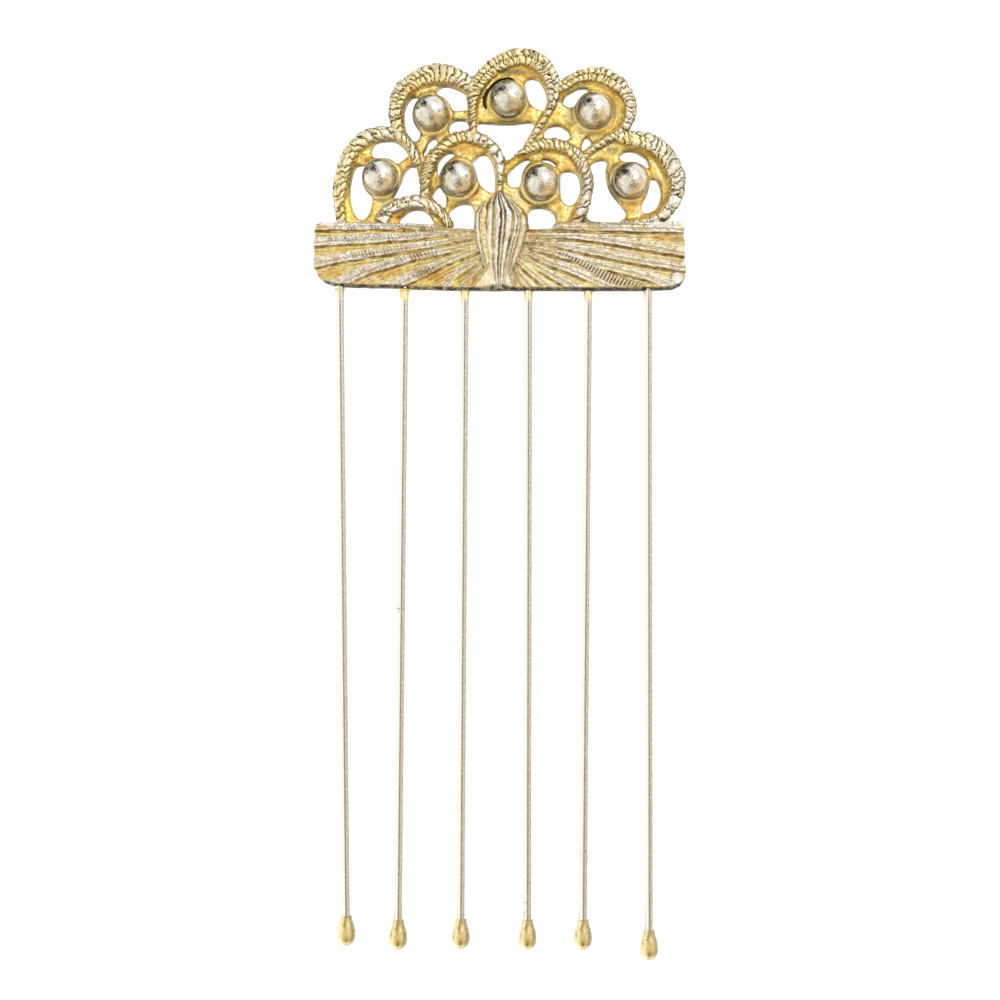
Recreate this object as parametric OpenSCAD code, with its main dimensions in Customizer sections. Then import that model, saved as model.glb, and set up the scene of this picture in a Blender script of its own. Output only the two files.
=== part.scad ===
// Ornamental hair comb: a cast, pierced head with seven set balls, and six round tines with drop tips.
// It lies on its back. +X is to the right, +Y is towards the crown, and +Z is up, out of the ornament.

/* [Overall] */
// Length from the end of the longest tine to the top of the crown
comb_len = 114.2; // [112:0.1:116]
// Height of the cast head, from the bar's lower edge to the top of the crown
head_h = 30.3; // [30.2:0.1:30.6]

/* [Bar] */
// Thickness of the bar at the crests of its ribs
bar_crest = 2.6; // [2.5:0.05:3]
// Depth of the flutes between the ribs
flute_depth = 0.5; // [0.2:0.05:0.6]

/* [Leaf] */
// Height of the central leaf above the back
leaf_top = 3.5; // [3.1:0.1:4]
// Height of the two sepals beside the leaf
sepal_top = 3.0; // [2.8:0.1:3.4]
// Depth of the grooves in the leaf and the sepals
leaf_groove = 0.35; // [0.1:0.05:0.5]

/* [Crown] */
// Height of the loops at the crests of their lobes
loop_crest = 2.3; // [2.1:0.1:2.6]
// Depth of the notches between the lobes, from above
notch_depth = 0.3; // [0.1:0.05:0.4]
// Depth of the same notches in the loops' outer edge
edge_notch = 0.16; // [0:0.02:0.2]
// Thickness of the web that joins the seats to the loops
web_t = 1.4; // [1.2:0.1:1.6]
// Radius of the web's inner corners
web_corner = 0.3; // [0.2:0.05:0.4]

/* [Balls] */
// Diameter of a ball
ball_d = 4.5; // [4.3:0.1:4.6]
// Diameter of the seat that holds a ball
seat_d = 5.1; // [4.9:0.1:5.2]
// Height of the seat's rim above the back
seat_t = 1.8; // [1.6:0.1:2]
// Thickness left under a ball
seat_floor = 0.45; // [0.4:0.05:0.8]
// Gap between a ball and its seat
ball_gap = 0.05; // [0.03:0.01:0.1]

/* [Tines] */
// Diameter of the tines' wire
tine_d = 1.2; // [1:0.05:1.3]
// Depth of the sockets in the bar's lower edge
socket_depth = 2.5; // [1.5:0.1:3]
// Gap around a tine in its socket and in its tip
tine_gap = 0.03; // [0.02:0.01:0.05]

/* [Tips] */
// Largest diameter of a drop tip
tip_d = 2.36; // [2.2:0.02:2.5]
// Length of a drop tip
tip_len = 3.8; // [3.4:0.1:4.2]
// Depth of the bore that takes the tine's end
tip_bore = 2.2; // [1.5:0.1:2.4]

/* [Hidden] */
// Height of the bar's lower edge along Y, which puts the origin under the middle of the comb
edge_y = comb_len / 2 - head_h;
// Axis of the tines above the back, so that the tips touch the surface that the bar rests on
tine_z = tip_d / 2;
// Sides of the seats and sockets, of the dishes, of the web's corners, and of the ends of its arms
round_fn = 16;
dish_fn = 14;
corner_fn = 8;
arm_fn = 8;
// Radii at the corners of a dish and of a socket, whose flats clear the round piece by the gap
dish_r = (ball_d / 2 + ball_gap) / pow(cos(180 / dish_fn), 2);
socket_r = (tine_d / 2 + tine_gap) / cos(180 / round_fn);
ball_z = seat_floor + dish_r * cos(180 / dish_fn);
// How far a loop's top falls from its crest to its edges
loop_fall = 0.65;
loop_edge = loop_crest - loop_fall;
// How far the leaf's and the sepals' edges lie below the bar's crests
leaf_sink = 0.3;
// Share of their swelling that they lose from the middle to the edges
leaf_round = 0.6;
// How far the web's discs stay back from the seats' walls
seat_lap = 0.08;
// How far a cut runs out past the face that it opens
cut_over = 0.5;
// Level of the head's pieces before the back is cut flat, so that they share one clean plane
below = -0.5;
// Width of the block that cuts the back, more than the head's
head_w = 120;

// All places in the tables are x to the right of the middle and y above the bar's lower edge, in mm

// Loops: columns are x, y and width of the band along its centre line
X = 0;
Y = 1;
WIDE = 2;
FAR_LEFT = [
    [-19.2, 7.9, 2.3], [-19.75, 10.5, 1.95], [-19.9, 12.5, 2.05], [-19.5, 15, 2.05], [-18.65, 17.2, 2],
    [-17.1, 18.8, 2], [-15.4, 19.5, 1.95], [-13.3, 19.5, 1.7], [-11.8, 18.55, 1.4], [-10.8, 17, 1.3],
    [-10.4, 15.6, 1.2]
];
UPPER_LEFT = [
    [-12.6, 19.4, 1.5], [-12.9, 21.2, 1.65], [-13, 22.9, 1.9], [-12.4, 24.6, 2.25], [-11.1, 25.8, 2.4],
    [-8.8, 26.9, 2.7], [-6.7, 26.9, 2.6], [-5, 26.3, 2.2], [-3.6, 25.2, 1.8]
];
TOP = [
    [-3.3, 18.8, 1], [-3.4, 21, 1], [-3.4, 23.2, 1.2], [-3.1, 25.1, 2.1], [-2.1, 26.6, 2.1], [-0.6, 28, 2.2],
    [1.3, 28.9, 2.4], [3.3, 29, 2.5], [5.1, 28, 2.6], [6.2, 26.4, 2.2], [6.6, 24.5, 1.6], [6.1, 22.6, 1.1],
    [5.1, 20.9, 1.05], [4.1, 19.3, 1], [3.3, 17.9, 1]
];
UPPER_RIGHT = [
    [6.9, 24.9, 1.5], [8.2, 25.5, 1.9], [9.6, 26.3, 2.1], [11.5, 26.6, 2.7], [13.3, 26.2, 2.9], [14.9, 24.9, 2.8],
    [15.8, 23.1, 2.4], [15.6, 21.3, 2], [14.8, 19.9, 1.5], [13.1, 18.7, 1.2], [11.4, 17.6, 1.1], [10.3, 16.5, 1.1]
];
MIDDLE_LEFT = [
    [-9.4, 11, 1.2], [-9.35, 13, 1.35], [-9.15, 14.7, 1.6], [-8.55, 16.4, 1.65], [-7.2, 17.8, 1.55],
    [-5.6, 18.9, 1.65], [-3.8, 19.1, 1.75], [-1.8, 18.4, 1.7], [-0.45, 16.9, 1.45], [-0.1, 15.2, 1.25],
    [-0.15, 13.2, 0.95], [-0.2, 11.5, 0.8]
];
MIDDLE_RIGHT = [
    [0.2, 14.8, 0.9], [1.9, 16.3, 1.05], [3.5, 17.5, 1.3], [5.3, 18.1, 1.7], [7.4, 18, 1.7], [9.1, 17.1, 1.65],
    [10.35, 15.4, 1.65], [10.85, 13.3, 1.45], [10.55, 11.2, 1.45], [9.85, 9.6, 1.6], [9.1, 8, 1.8]
];
FAR_RIGHT = [
    [14.5, 19.2, 1.8], [16.5, 18.8, 2.2], [18.4, 18.4, 2.5], [20.1, 17.3, 2.6], [21.3, 15.5, 2.6],
    [21.95, 13.6, 2.4], [21.7, 11.7, 2.05], [20.85, 10.2, 1.75], [19.7, 9.1, 1.4], [17.7, 8.6, 1], [15.2, 8.4, 0.8]
];
ARCH = [
    [-14.6, 8.3, 2.6], [-13.8, 9.8, 2.1], [-12.3, 10.7, 1.9], [-10.3, 11, 1.7], [-8.6, 10.5, 1.5],
    [-7.2, 9.3, 1.3], [-6.4, 7.8, 1.2]
];

// Bands of the crown: columns are the loop's table, its number of lobes, and how far the web under it
// stands out inside the loop, or stays back from its inner edge if negative
ROWS = 0;
LOBES = 1;
FLANGE = 2;
BANDS = [
    [FAR_LEFT, 30, -0.06], [UPPER_LEFT, 28, -0.06], [TOP, 48, -0.06], [UPPER_RIGHT, 36, 0.2],
    [MIDDLE_LEFT, 34, -0.06], [MIDDLE_RIGHT, 32, -0.06], [FAR_RIGHT, 30, 0.3], [ARCH, 18, -0.06]
];

// Balls: columns are x and y
BALLS = [
    [-15, 14], [-8.65, 22], [0.95, 23.8], [11.65, 22.3], [-5.3, 13.85], [5.05, 13.35], [16.25, 13.6]
];

// Arms of the web: columns are x, y and width where an arm starts, and the same where it ends
FROM_X = 0;
FROM_Y = 1;
FROM_D = 2;
TO_X = 3;
TO_Y = 4;
TO_D = 5;
ARMS = [
    // Far left ball: to the loop above and beside it, and down to the arch
    [-15, 14, 1.8, -17.6, 17, 2], [-15, 14, 1.8, -11, 16.6, 1.6], [-15, 14, 2.4, -14.9, 9.8, 2.5],
    // Upper left ball: up, right, and down on two legs
    [-8.65, 22, 2, -9.5, 25.6, 2.6], [-8.65, 22, 1.2, -3.8, 22.2, 1.2], [-8.65, 22, 3, -8.5, 20.4, 2.7],
    [-9.6, 20.4, 1.4, -10.7, 17.7, 1.2], [-7.6, 20.4, 1.4, -6.9, 19.2, 1.4],
    [-10.3, 16, 1.2, -9.4, 16.2, 1.2],
    // Top ball: the bar below it, the pad above it, and the floor of the groove beside it
    [-2.6, 22, 1.8, 5.3, 22, 1.8], [-3.2, 22.4, 1.8, -1, 22.6, 2.2], [0.95, 24.5, 2.2, 2.9, 27.1, 2.9],
    [0.95, 23.8, 4.8, -1.3, 25.8, 4], [5.3, 21, 1.2, 5, 19.2, 1.2],
    // Upper right ball: left, down on two legs, and out to the loop
    [11.65, 22.3, 2.2, 6.8, 21.7, 2.6], [7, 24.2, 2, 7, 22, 2.4], [9.8, 21.2, 1.9, 9.6, 17.8, 1.8],
    [11.65, 22.3, 2.2, 12.7, 18.6, 2], [11.65, 22.3, 3, 15, 22.2, 3], [13.2, 20.8, 2.4, 13.8, 20, 2],
    [11.3, 16.8, 1, 15.4, 19.4, 1.4],
    // Middle left ball: up, down to the leaf, down to the arch, and left
    [-5.3, 13.85, 2.2, -4.3, 18.2, 2.6], [-4.3, 18, 2, -2.2, 17.3, 1.3], [-5.3, 13.85, 2, -0.8, 11.7, 2.2],
    [-5.3, 13.85, 1, -6.7, 9.6, 1], [-5.3, 13.85, 1.2, -8.9, 13.6, 1.2], [-5.3, 12.8, 2.6, -4, 11.5, 1.6],
    [-2.4, 12, 2.2, -2.5, 10.2, 1.7],
    // Middle right ball: down to the leaf, up on two arms with a flange between, and down to the bar
    [5.05, 13.35, 2.4, 2, 10.8, 3], [0.9, 12.1, 1.7, 2.9, 12, 2], [5.05, 13.35, 1.5, 8.9, 16.5, 1.7],
    [5.05, 13.35, 1.1, 4, 17, 1.1], [3.5, 16.9, 1, 8, 16.9, 1.2], [5.05, 13.35, 2.4, 8.4, 10, 2.6],
    [7.7, 10.4, 2.6, 8.1, 8.4, 2.6], [0.35, 16.3, 1.1, 0.4, 15.4, 1],
    // Far right ball: up to the left, out to the loop, and down to the rope on the bar
    [16.25, 13.6, 2.2, 13.2, 16.6, 2.2], [16.25, 13.6, 1.8, 20.5, 15.1, 2], [16.25, 13.6, 2.2, 16.4, 9, 2.6],
    [16.25, 13.6, 5.4, 15.9, 13.6, 5.4], [10, 8.5, 1.4, 15.6, 8.6, 1],
    [14.3, 18.2, 1.6, 15.2, 18.1, 1.6]
];

// Fans of ribs on the bar: columns are the inner end, the outer end, and 1 on a crest or 0 in a flute
INNER_X = 0;
INNER_Y = 1;
OUTER_X = 2;
OUTER_Y = 3;
RISE = 4;
LEFT_FAN = [
    [-8.7, 8.15, -22.7, 8.45, 0.2], [-6.7, 7.65, -23.1, 8.1, 0.7], [-2.3, 7.5, -23.2, 7.8, 1],
    [-2.3, 7.3, -23.3, 6.6, 0], [-2.3, 7.05, -23.35, 5.9, 1], [-2.3, 6.75, -23.35, 4.5, 0],
    [-2.3, 6.4, -23.3, 3.25, 1], [-2.3, 6, -22.7, 1.6, 0], [-2.3, 5.6, -20.7, 0.55, 1],
    [-2.3, 5.2, -15.7, 0.35, 0], [-2.2, 4.8, -12.7, 0.25, 1], [-2.05, 4.3, -9.45, 0.15, 0],
    [-1.95, 3.8, -6.7, 0.05, 1], [-1.7, 3.3, -5.3, 0, 0], [-1.45, 2.7, -4.05, 0, 1], [-1.05, 2, -2.55, 0, 0],
    [0.35, 1, 0.2, 0, 0.6]
];
RIGHT_FAN = [
    [7, 8.4, 22.3, 8.45, 0.2], [6.4, 7.65, 22.8, 8.1, 0.7], [2.8, 7.45, 22.95, 7.75, 1], [2.8, 7.1, 23, 6.4, 0],
    [2.8, 6.7, 22.95, 4.75, 1], [2.8, 6.35, 23, 3.6, 0], [2.8, 6, 23.2, 2.6, 1], [2.8, 5.6, 22.95, 1.4, 0],
    [2.7, 5.2, 21.45, 0.2, 1], [2.55, 4.8, 17.45, 0, 0], [2.45, 4.4, 13.05, 0, 1], [2.2, 4, 11.2, 0, 0],
    [2.05, 3.6, 8.95, 0, 1], [1.8, 3.15, 7.45, 0, 0], [1.6, 2.65, 6.05, 0, 1], [1.35, 2.1, 5.05, 0, 0],
    [1, 1.5, 3.95, 0, 1], [0.6, 0.9, 2.45, 0, 0], [-0.35, 1.1, -0.2, 0, 0.6]
];

// Leaf and sepals: columns are y, the left edge, the right edge, and the share of the full height
AT_Y = 0;
LEFT = 1;
RIGHT = 2;
SWELL = 3;
LEAF = [
    [12.1, -0.45, 0.2, 0.5], [11.35, -1.15, 0.95, 0.7], [10.6, -1.6, 1.6, 0.85], [9.75, -1.75, 2.2, 0.95],
    [8.75, -1.8, 2.35, 1], [6.9, -1.8, 2.1, 1], [5, -1.65, 1.5, 0.9], [3.1, -1.4, 1, 0.75],
    [1.25, -1, 0.65, 0.5], [0.15, -0.8, 0.4, 0.25]
];
LEFT_SEPAL = [
    [10.9, -2.2, -1.4, 0.3], [9.5, -3.2, -1.5, 0.8], [8.1, -3.2, -1.5, 1], [6, -3, -1.4, 0.9],
    [3.6, -2.3, -1.1, 0.6], [0.75, -1.25, -0.7, 0.2]
];
RIGHT_SEPAL = [
    [11.3, 0.8, 1.3, 0.3], [10.1, 1.7, 2.6, 0.6], [9.1, 2.1, 3.4, 0.9], [7.6, 2, 3.5, 1],
    [5.3, 1.4, 2.9, 0.9], [3.1, 0.9, 2, 0.6], [0.6, 0.4, 0.95, 0.2]
];

// Tines: columns are x at the socket, x at the tip, and y of the tip's end
SOCKET_X = 0;
TIP_X = 1;
END_Y = 2;
TINES = [
    [-20.1, -19.3, -82.1], [-12, -12.85, -82.6], [-4.45, -5, -82.5],
    [3.5, 3.35, -82.6], [11, 10.3, -82.6], [18.5, 18.6, -83.9]
];

// Half outline of a drop tip: columns are the share of its length from the end, and of its radius
DROP = [
    [0, 0], [0.02, 0.32], [0.08, 0.6], [0.18, 0.88], [0.28, 0.98], [0.38, 1], [0.5, 0.97], [0.65, 0.88],
    [0.82, 0.7], [0.92, 0.63], [1, 0.6]
];

// Row between rows of a table, on a smooth curve through them all
function on_curve(rows, t) =
    let (
        last = len(rows) - 1,
        i = min(floor(t), last - 1),
        f = t - i,
        before = rows[max(i - 1, 0)],
        from = rows[i],
        to = rows[i + 1],
        after = rows[min(i + 2, last)]
    )
    from + 0.5 * f * (to - before + f * (2 * before - 5 * from + 4 * to - after
        + f * (3 * (from - to) + after - before)));

// Left-hand normal of the curve, in the plane of the comb
function normal_at(rows, t) =
    let (
        step = 0.05,
        ahead = on_curve(rows, min(t + step, len(rows) - 1)),
        behind = on_curve(rows, max(t - step, 0)),
        along = [ahead[X] - behind[X], ahead[Y] - behind[Y]]
    )
    [-along.y, along.x] / norm(along);

// Section across a band: a flat-sided bar with a roof, lower and narrower in a notch
function band_section(rows, t, notched) =
    let (
        row = on_curve(rows, t),
        side = normal_at(rows, t),
        outer = row[WIDE] / 2 - (notched ? edge_notch : 0),
        inner = row[WIDE] / 2,
        drop = notched ? notch_depth : 0,
        profile = [
            [-inner, below], [-inner, loop_edge - drop / 2], [outer / 4, loop_crest - drop],
            [outer, loop_edge - drop / 2], [outer, below]
        ]
    )
    [for (p = profile) [row[X] + side.x * p[0], row[Y] + side.y * p[0], p[1]]];

// Faces of a solid whose rings of n points follow one another, closed at both ends
function tube_faces(rings, n) = concat(
    [[for (k = [n - 1:-1:0]) k]],
    [for (r = [0:rings - 2], k = [0:n - 1]) each [
        [r * n + k, r * n + (k + 1) % n, (r + 1) * n + (k + 1) % n],
        [r * n + k, (r + 1) * n + (k + 1) % n, (r + 1) * n + k]
    ]],
    [[for (k = [0:n - 1]) (rings - 1) * n + k]]
);

// A solid through a list of rings with equally many points
module loft(rings) {
    points = [for (ring = rings) each ring];
    polyhedron(points = points, faces = tube_faces(len(rings), len(rings[0])), convexity = 6);
}

// One gadrooned loop of the crown
module band(rows, lobes) {
    steps = 2 * lobes;
    loft([for (s = [0:steps]) band_section(rows, s * (len(rows) - 1) / steps, s % 2 == 0)]);
}

// A fan of ribs from the leaf to the edges of the bar
module fan(rows) {
    loft([for (r = rows) let (
        z = bar_crest - flute_depth * (1 - r[RISE]),
        inner = [r[INNER_X], r[INNER_Y]],
        outer = [r[OUTER_X], r[OUTER_Y]],
        start = outer.x < inner.x ? inner : outer,
        end = outer.x < inner.x ? outer : inner
    ) [[start.x, start.y, below], [end.x, end.y, below], [end.x, end.y, z], [start.x, start.y, z]]]);
}

// A leaf with ribs along Y, swelling from its edges to the middle
module ribbed_leaf(rows, ribs, top) {
    cuts = 2 * ribs;
    loft([for (r = rows) let (base = bar_crest - leaf_sink) concat(
        [for (k = [0:cuts])
            let (
                u = k / cuts,
                swell = (top - base) * r[SWELL] * (1 - pow(2 * u - 1, 2) * leaf_round),
                groove = k % 2 == 0 ? leaf_groove * min(1, r[SWELL] + 0.2) : 0
            )
            [r[LEFT] + (r[RIGHT] - r[LEFT]) * u, r[AT_Y], base + swell - groove]],
        [[r[RIGHT], r[AT_Y], below], [r[LEFT], r[AT_Y], below]]
    )]);
}

// Footprint of a loop and of the plain flange inside it, which ends just short of the loop's end faces
module band_foot(band) {
    rows = band[ROWS];
    short = 0.1;
    stations = [short:0.5:len(rows) - 1 - short];
    polygon(concat(
        [for (t = stations) offset_point(rows, t, on_curve(rows, t)[WIDE] / 2 - 2 * edge_notch)],
        [for (s = stations) let (t = len(rows) - 1 - s)
            offset_point(rows, t, -on_curve(rows, t)[WIDE] / 2 - band[FLANGE])]
    ));
}

function offset_point(rows, t, out) =
    let (row = on_curve(rows, t))
    [row[X], row[Y]] + out * normal_at(rows, t);

// Flat web between the seats and the loops, with rounded inner corners
module web() {
    translate([0, 0, below]) linear_extrude(web_t - below)
        offset(r = -web_corner, $fn = corner_fn)
            offset(delta = web_corner) {
                for (arm = ARMS) hull() {
                    translate([arm[FROM_X], arm[FROM_Y]]) circle(d = arm[FROM_D], $fn = arm_fn);
                    translate([arm[TO_X], arm[TO_Y]]) circle(d = arm[TO_D], $fn = arm_fn);
                }
                for (b = BANDS) band_foot(b);
                for (b = BALLS) translate(b) circle(d = seat_d - 2 * seat_lap, $fn = round_fn);
            }
}

module head() {
    color("goldenrod") translate([0, edge_y, 0]) difference() {
        union() {
            fan(LEFT_FAN);
            fan(RIGHT_FAN);
            ribbed_leaf(LEAF, 5, leaf_top);
            ribbed_leaf(LEFT_SEPAL, 2, sepal_top);
            ribbed_leaf(RIGHT_SEPAL, 2, sepal_top);
            for (b = BANDS) band(b[ROWS], b[LOBES]);
            web();
            for (b = BALLS) translate([b[X], b[Y], below]) cylinder(d = seat_d, h = seat_t - below, $fn = round_fn);
        }
        translate([-head_w / 2, -head_w / 2, 2 * below]) cube([head_w, head_w, -2 * below]);
        for (b = BALLS) translate([b[X], b[Y], ball_z]) sphere(r = dish_r, $fn = dish_fn);
        for (t = TINES) along_tine(t) cylinder(r = socket_r, h = socket_depth + cut_over, $fn = round_fn);
    }
}

// Puts what runs along +Z at a socket's bottom, pointing down its tine
module along_tine(t) {
    lean = atan2(t[TIP_X] - t[SOCKET_X], -t[END_Y]);
    translate([t[SOCKET_X], 0, tine_z])
        rotate([0, 0, lean])
            rotate([90, 0, 0])
                translate([0, 0, -socket_depth])
                    children();
}

function tine_reach(t) = norm([t[TIP_X] - t[SOCKET_X], t[END_Y]]);

module ball(i) {
    color("silver") translate([BALLS[i][X], edge_y + BALLS[i][Y], ball_z]) sphere(d = ball_d, $fn = 96);
}

module tine(i) {
    t = TINES[i];
    color("lightgoldenrodyellow") translate([0, edge_y, 0]) along_tine(t)
        translate([0, 0, tine_gap])
            cylinder(d = tine_d, h = socket_depth + tine_reach(t) - tip_len + tip_bore - 2 * tine_gap, $fn = 48);
}

module tip(i) {
    t = TINES[i];
    half = [for (p = DROP) [p[1] * tip_d / 2, -p[0] * tip_len]];
    color("gold") translate([0, edge_y, 0]) along_tine(t)
        translate([0, 0, socket_depth + tine_reach(t)])
            difference() {
                rotate_extrude($fn = 48) polygon(concat(half, [[0, -tip_len]]));
                translate([0, 0, -tip_len - 1]) cylinder(r = tine_d / 2 + tine_gap, h = tip_bore + 1, $fn = 48);
            }
}

head();
ball(0);  // ball_1
ball(1);  // ball_2
ball(2);  // ball_3
ball(3);  // ball_4
ball(4);  // ball_5
ball(5);  // ball_6
ball(6);  // ball_7
tine(0);  // tine_1
tine(1);  // tine_2
tine(2);  // tine_3
tine(3);  // tine_4
tine(4);  // tine_5
tine(5);  // tine_6
tip(0);  // tip_1
tip(1);  // tip_2
tip(2);  // tip_3
tip(3);  // tip_4
tip(4);  // tip_5
tip(5);  // tip_6
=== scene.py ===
"""Ornamental hair comb lying on its back on a pale floor, seen from straight above.

The cast head is worked out as a field over a fine grid: outlines and heights of its web, loops, ribbed
bar, leaf and sepals are joined with small fillets, and one surface is drawn through the result.
"""

import math

import bpy
import numpy as np
import openvdb
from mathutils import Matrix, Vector


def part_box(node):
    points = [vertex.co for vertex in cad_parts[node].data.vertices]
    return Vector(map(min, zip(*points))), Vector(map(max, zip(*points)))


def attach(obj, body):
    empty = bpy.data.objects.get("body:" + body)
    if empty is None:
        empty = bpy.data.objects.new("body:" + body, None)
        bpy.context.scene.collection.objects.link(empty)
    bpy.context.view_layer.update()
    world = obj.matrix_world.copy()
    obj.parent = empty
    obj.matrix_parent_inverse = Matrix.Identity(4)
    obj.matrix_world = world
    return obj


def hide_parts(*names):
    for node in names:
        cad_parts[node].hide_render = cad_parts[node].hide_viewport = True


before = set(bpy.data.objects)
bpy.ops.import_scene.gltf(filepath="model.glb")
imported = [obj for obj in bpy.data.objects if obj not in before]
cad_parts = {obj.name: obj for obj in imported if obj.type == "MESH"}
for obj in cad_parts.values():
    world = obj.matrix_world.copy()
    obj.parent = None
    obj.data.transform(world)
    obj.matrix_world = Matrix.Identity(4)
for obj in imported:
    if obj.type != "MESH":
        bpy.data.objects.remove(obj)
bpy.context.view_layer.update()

MM = 0.001
PITCH = 0.075
HEAD_TRIANGLES = 194000
scene = bpy.context.scene

# The part's frame: y above the bar's lower edge is used for the head's tables, as in the CAD source
HEAD_HIGH = 30.3
head_low, head_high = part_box("head")
ball_low, ball_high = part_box("ball_1")
EDGE_Y = head_high.y / MM - HEAD_HIGH
BALL_Z = (ball_high.z + ball_low.z) / 2 / MM
BALL_R = (ball_high.z - ball_low.z) / 2 / MM
TINE_Z = 1.18
TINE_R = 0.6
TIP_R = 1.18
TIP_LEN = 3.8
TIP_BORE = 2.2
SOCKET = 2.5
# Gaps round a ball in its seat and round a wire in the bar, a wire's play in its drop, and the gap
# past each end of a wire
BALL_GAP = 0.06
SOCKET_GAP = 0.045
TIP_GAP = 0.03
END_GAP = 0.03

# Loops: x, y and width of the band along its centre line
FAR_LEFT = [
    [-19.2, 7.9, 2.3], [-19.75, 10.5, 1.95], [-19.9, 12.5, 2.05], [-19.5, 15, 2.05], [-18.65, 17.2, 2],
    [-17.1, 18.8, 2], [-15.4, 19.5, 1.95], [-13.3, 19.5, 1.7], [-11.8, 18.55, 1.4], [-10.8, 17, 1.3],
    [-10.4, 15.6, 1.2],
]
UPPER_LEFT = [
    [-12.6, 19.4, 1.5], [-12.9, 21.2, 1.65], [-13, 22.9, 1.9], [-12.4, 24.6, 2.25], [-11.1, 25.8, 2.4],
    [-8.8, 26.9, 2.7], [-6.7, 26.9, 2.6], [-5, 26.3, 2.2], [-3.6, 25.2, 1.8],
]
TOP = [
    [-3.3, 18.8, 1], [-3.4, 21, 1], [-3.4, 23.2, 1.2], [-3.1, 25.1, 2.1], [-2.1, 26.6, 2.1],
    [-0.6, 28, 2.2], [1.3, 28.9, 2.4], [3.3, 29, 2.5], [5.1, 28, 2.6], [6.2, 26.4, 2.2], [6.6, 24.5, 1.6],
    [6.1, 22.6, 1.1], [5.1, 20.9, 1.05], [4.1, 19.3, 1], [3.3, 17.9, 1],
]
UPPER_RIGHT = [
    [6.9, 24.9, 1.5], [8.2, 25.5, 1.9], [9.6, 26.3, 2.1], [11.5, 26.6, 2.7], [13.3, 26.2, 2.9],
    [14.9, 24.9, 2.8], [15.8, 23.1, 2.4], [15.6, 21.3, 2], [14.8, 19.9, 1.5], [13.1, 18.7, 1.2],
    [11.4, 17.6, 1.1], [10.3, 16.5, 1.1],
]
MIDDLE_LEFT = [
    [-9.4, 11, 1.2], [-9.35, 13, 1.35], [-9.15, 14.7, 1.6], [-8.55, 16.4, 1.65], [-7.2, 17.8, 1.55],
    [-5.6, 18.9, 1.65], [-3.8, 19.1, 1.75], [-1.8, 18.4, 1.7], [-0.45, 16.9, 1.45], [-0.1, 15.2, 1.25],
    [-0.15, 13.2, 0.95], [-0.2, 11.5, 0.8],
]
MIDDLE_RIGHT = [
    [0.2, 14.8, 0.9], [1.9, 16.3, 1.05], [3.5, 17.5, 1.3], [5.3, 18.1, 1.7], [7.4, 18, 1.7],
    [9.1, 17.1, 1.65], [10.35, 15.4, 1.65], [10.85, 13.3, 1.45], [10.55, 11.2, 1.45], [9.85, 9.6, 1.6],
    [9.1, 8, 1.8],
]
FAR_RIGHT = [
    [14.5, 19.2, 1.8], [16.5, 18.8, 2.2], [18.4, 18.4, 2.5], [20.1, 17.3, 2.6], [21.3, 15.5, 2.6],
    [21.95, 13.6, 2.4], [21.7, 11.7, 2.05], [20.85, 10.2, 1.75], [19.7, 9.1, 1.4], [17.7, 8.6, 1],
    [15.2, 8.4, 0.8],
]
ARCH = [
    [-14.6, 8.3, 2.6], [-13.8, 9.8, 2.1], [-12.3, 10.7, 1.9], [-10.3, 11, 1.7], [-8.6, 10.5, 1.5],
    [-7.2, 9.3, 1.3], [-6.4, 7.8, 1.2],
]

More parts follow.
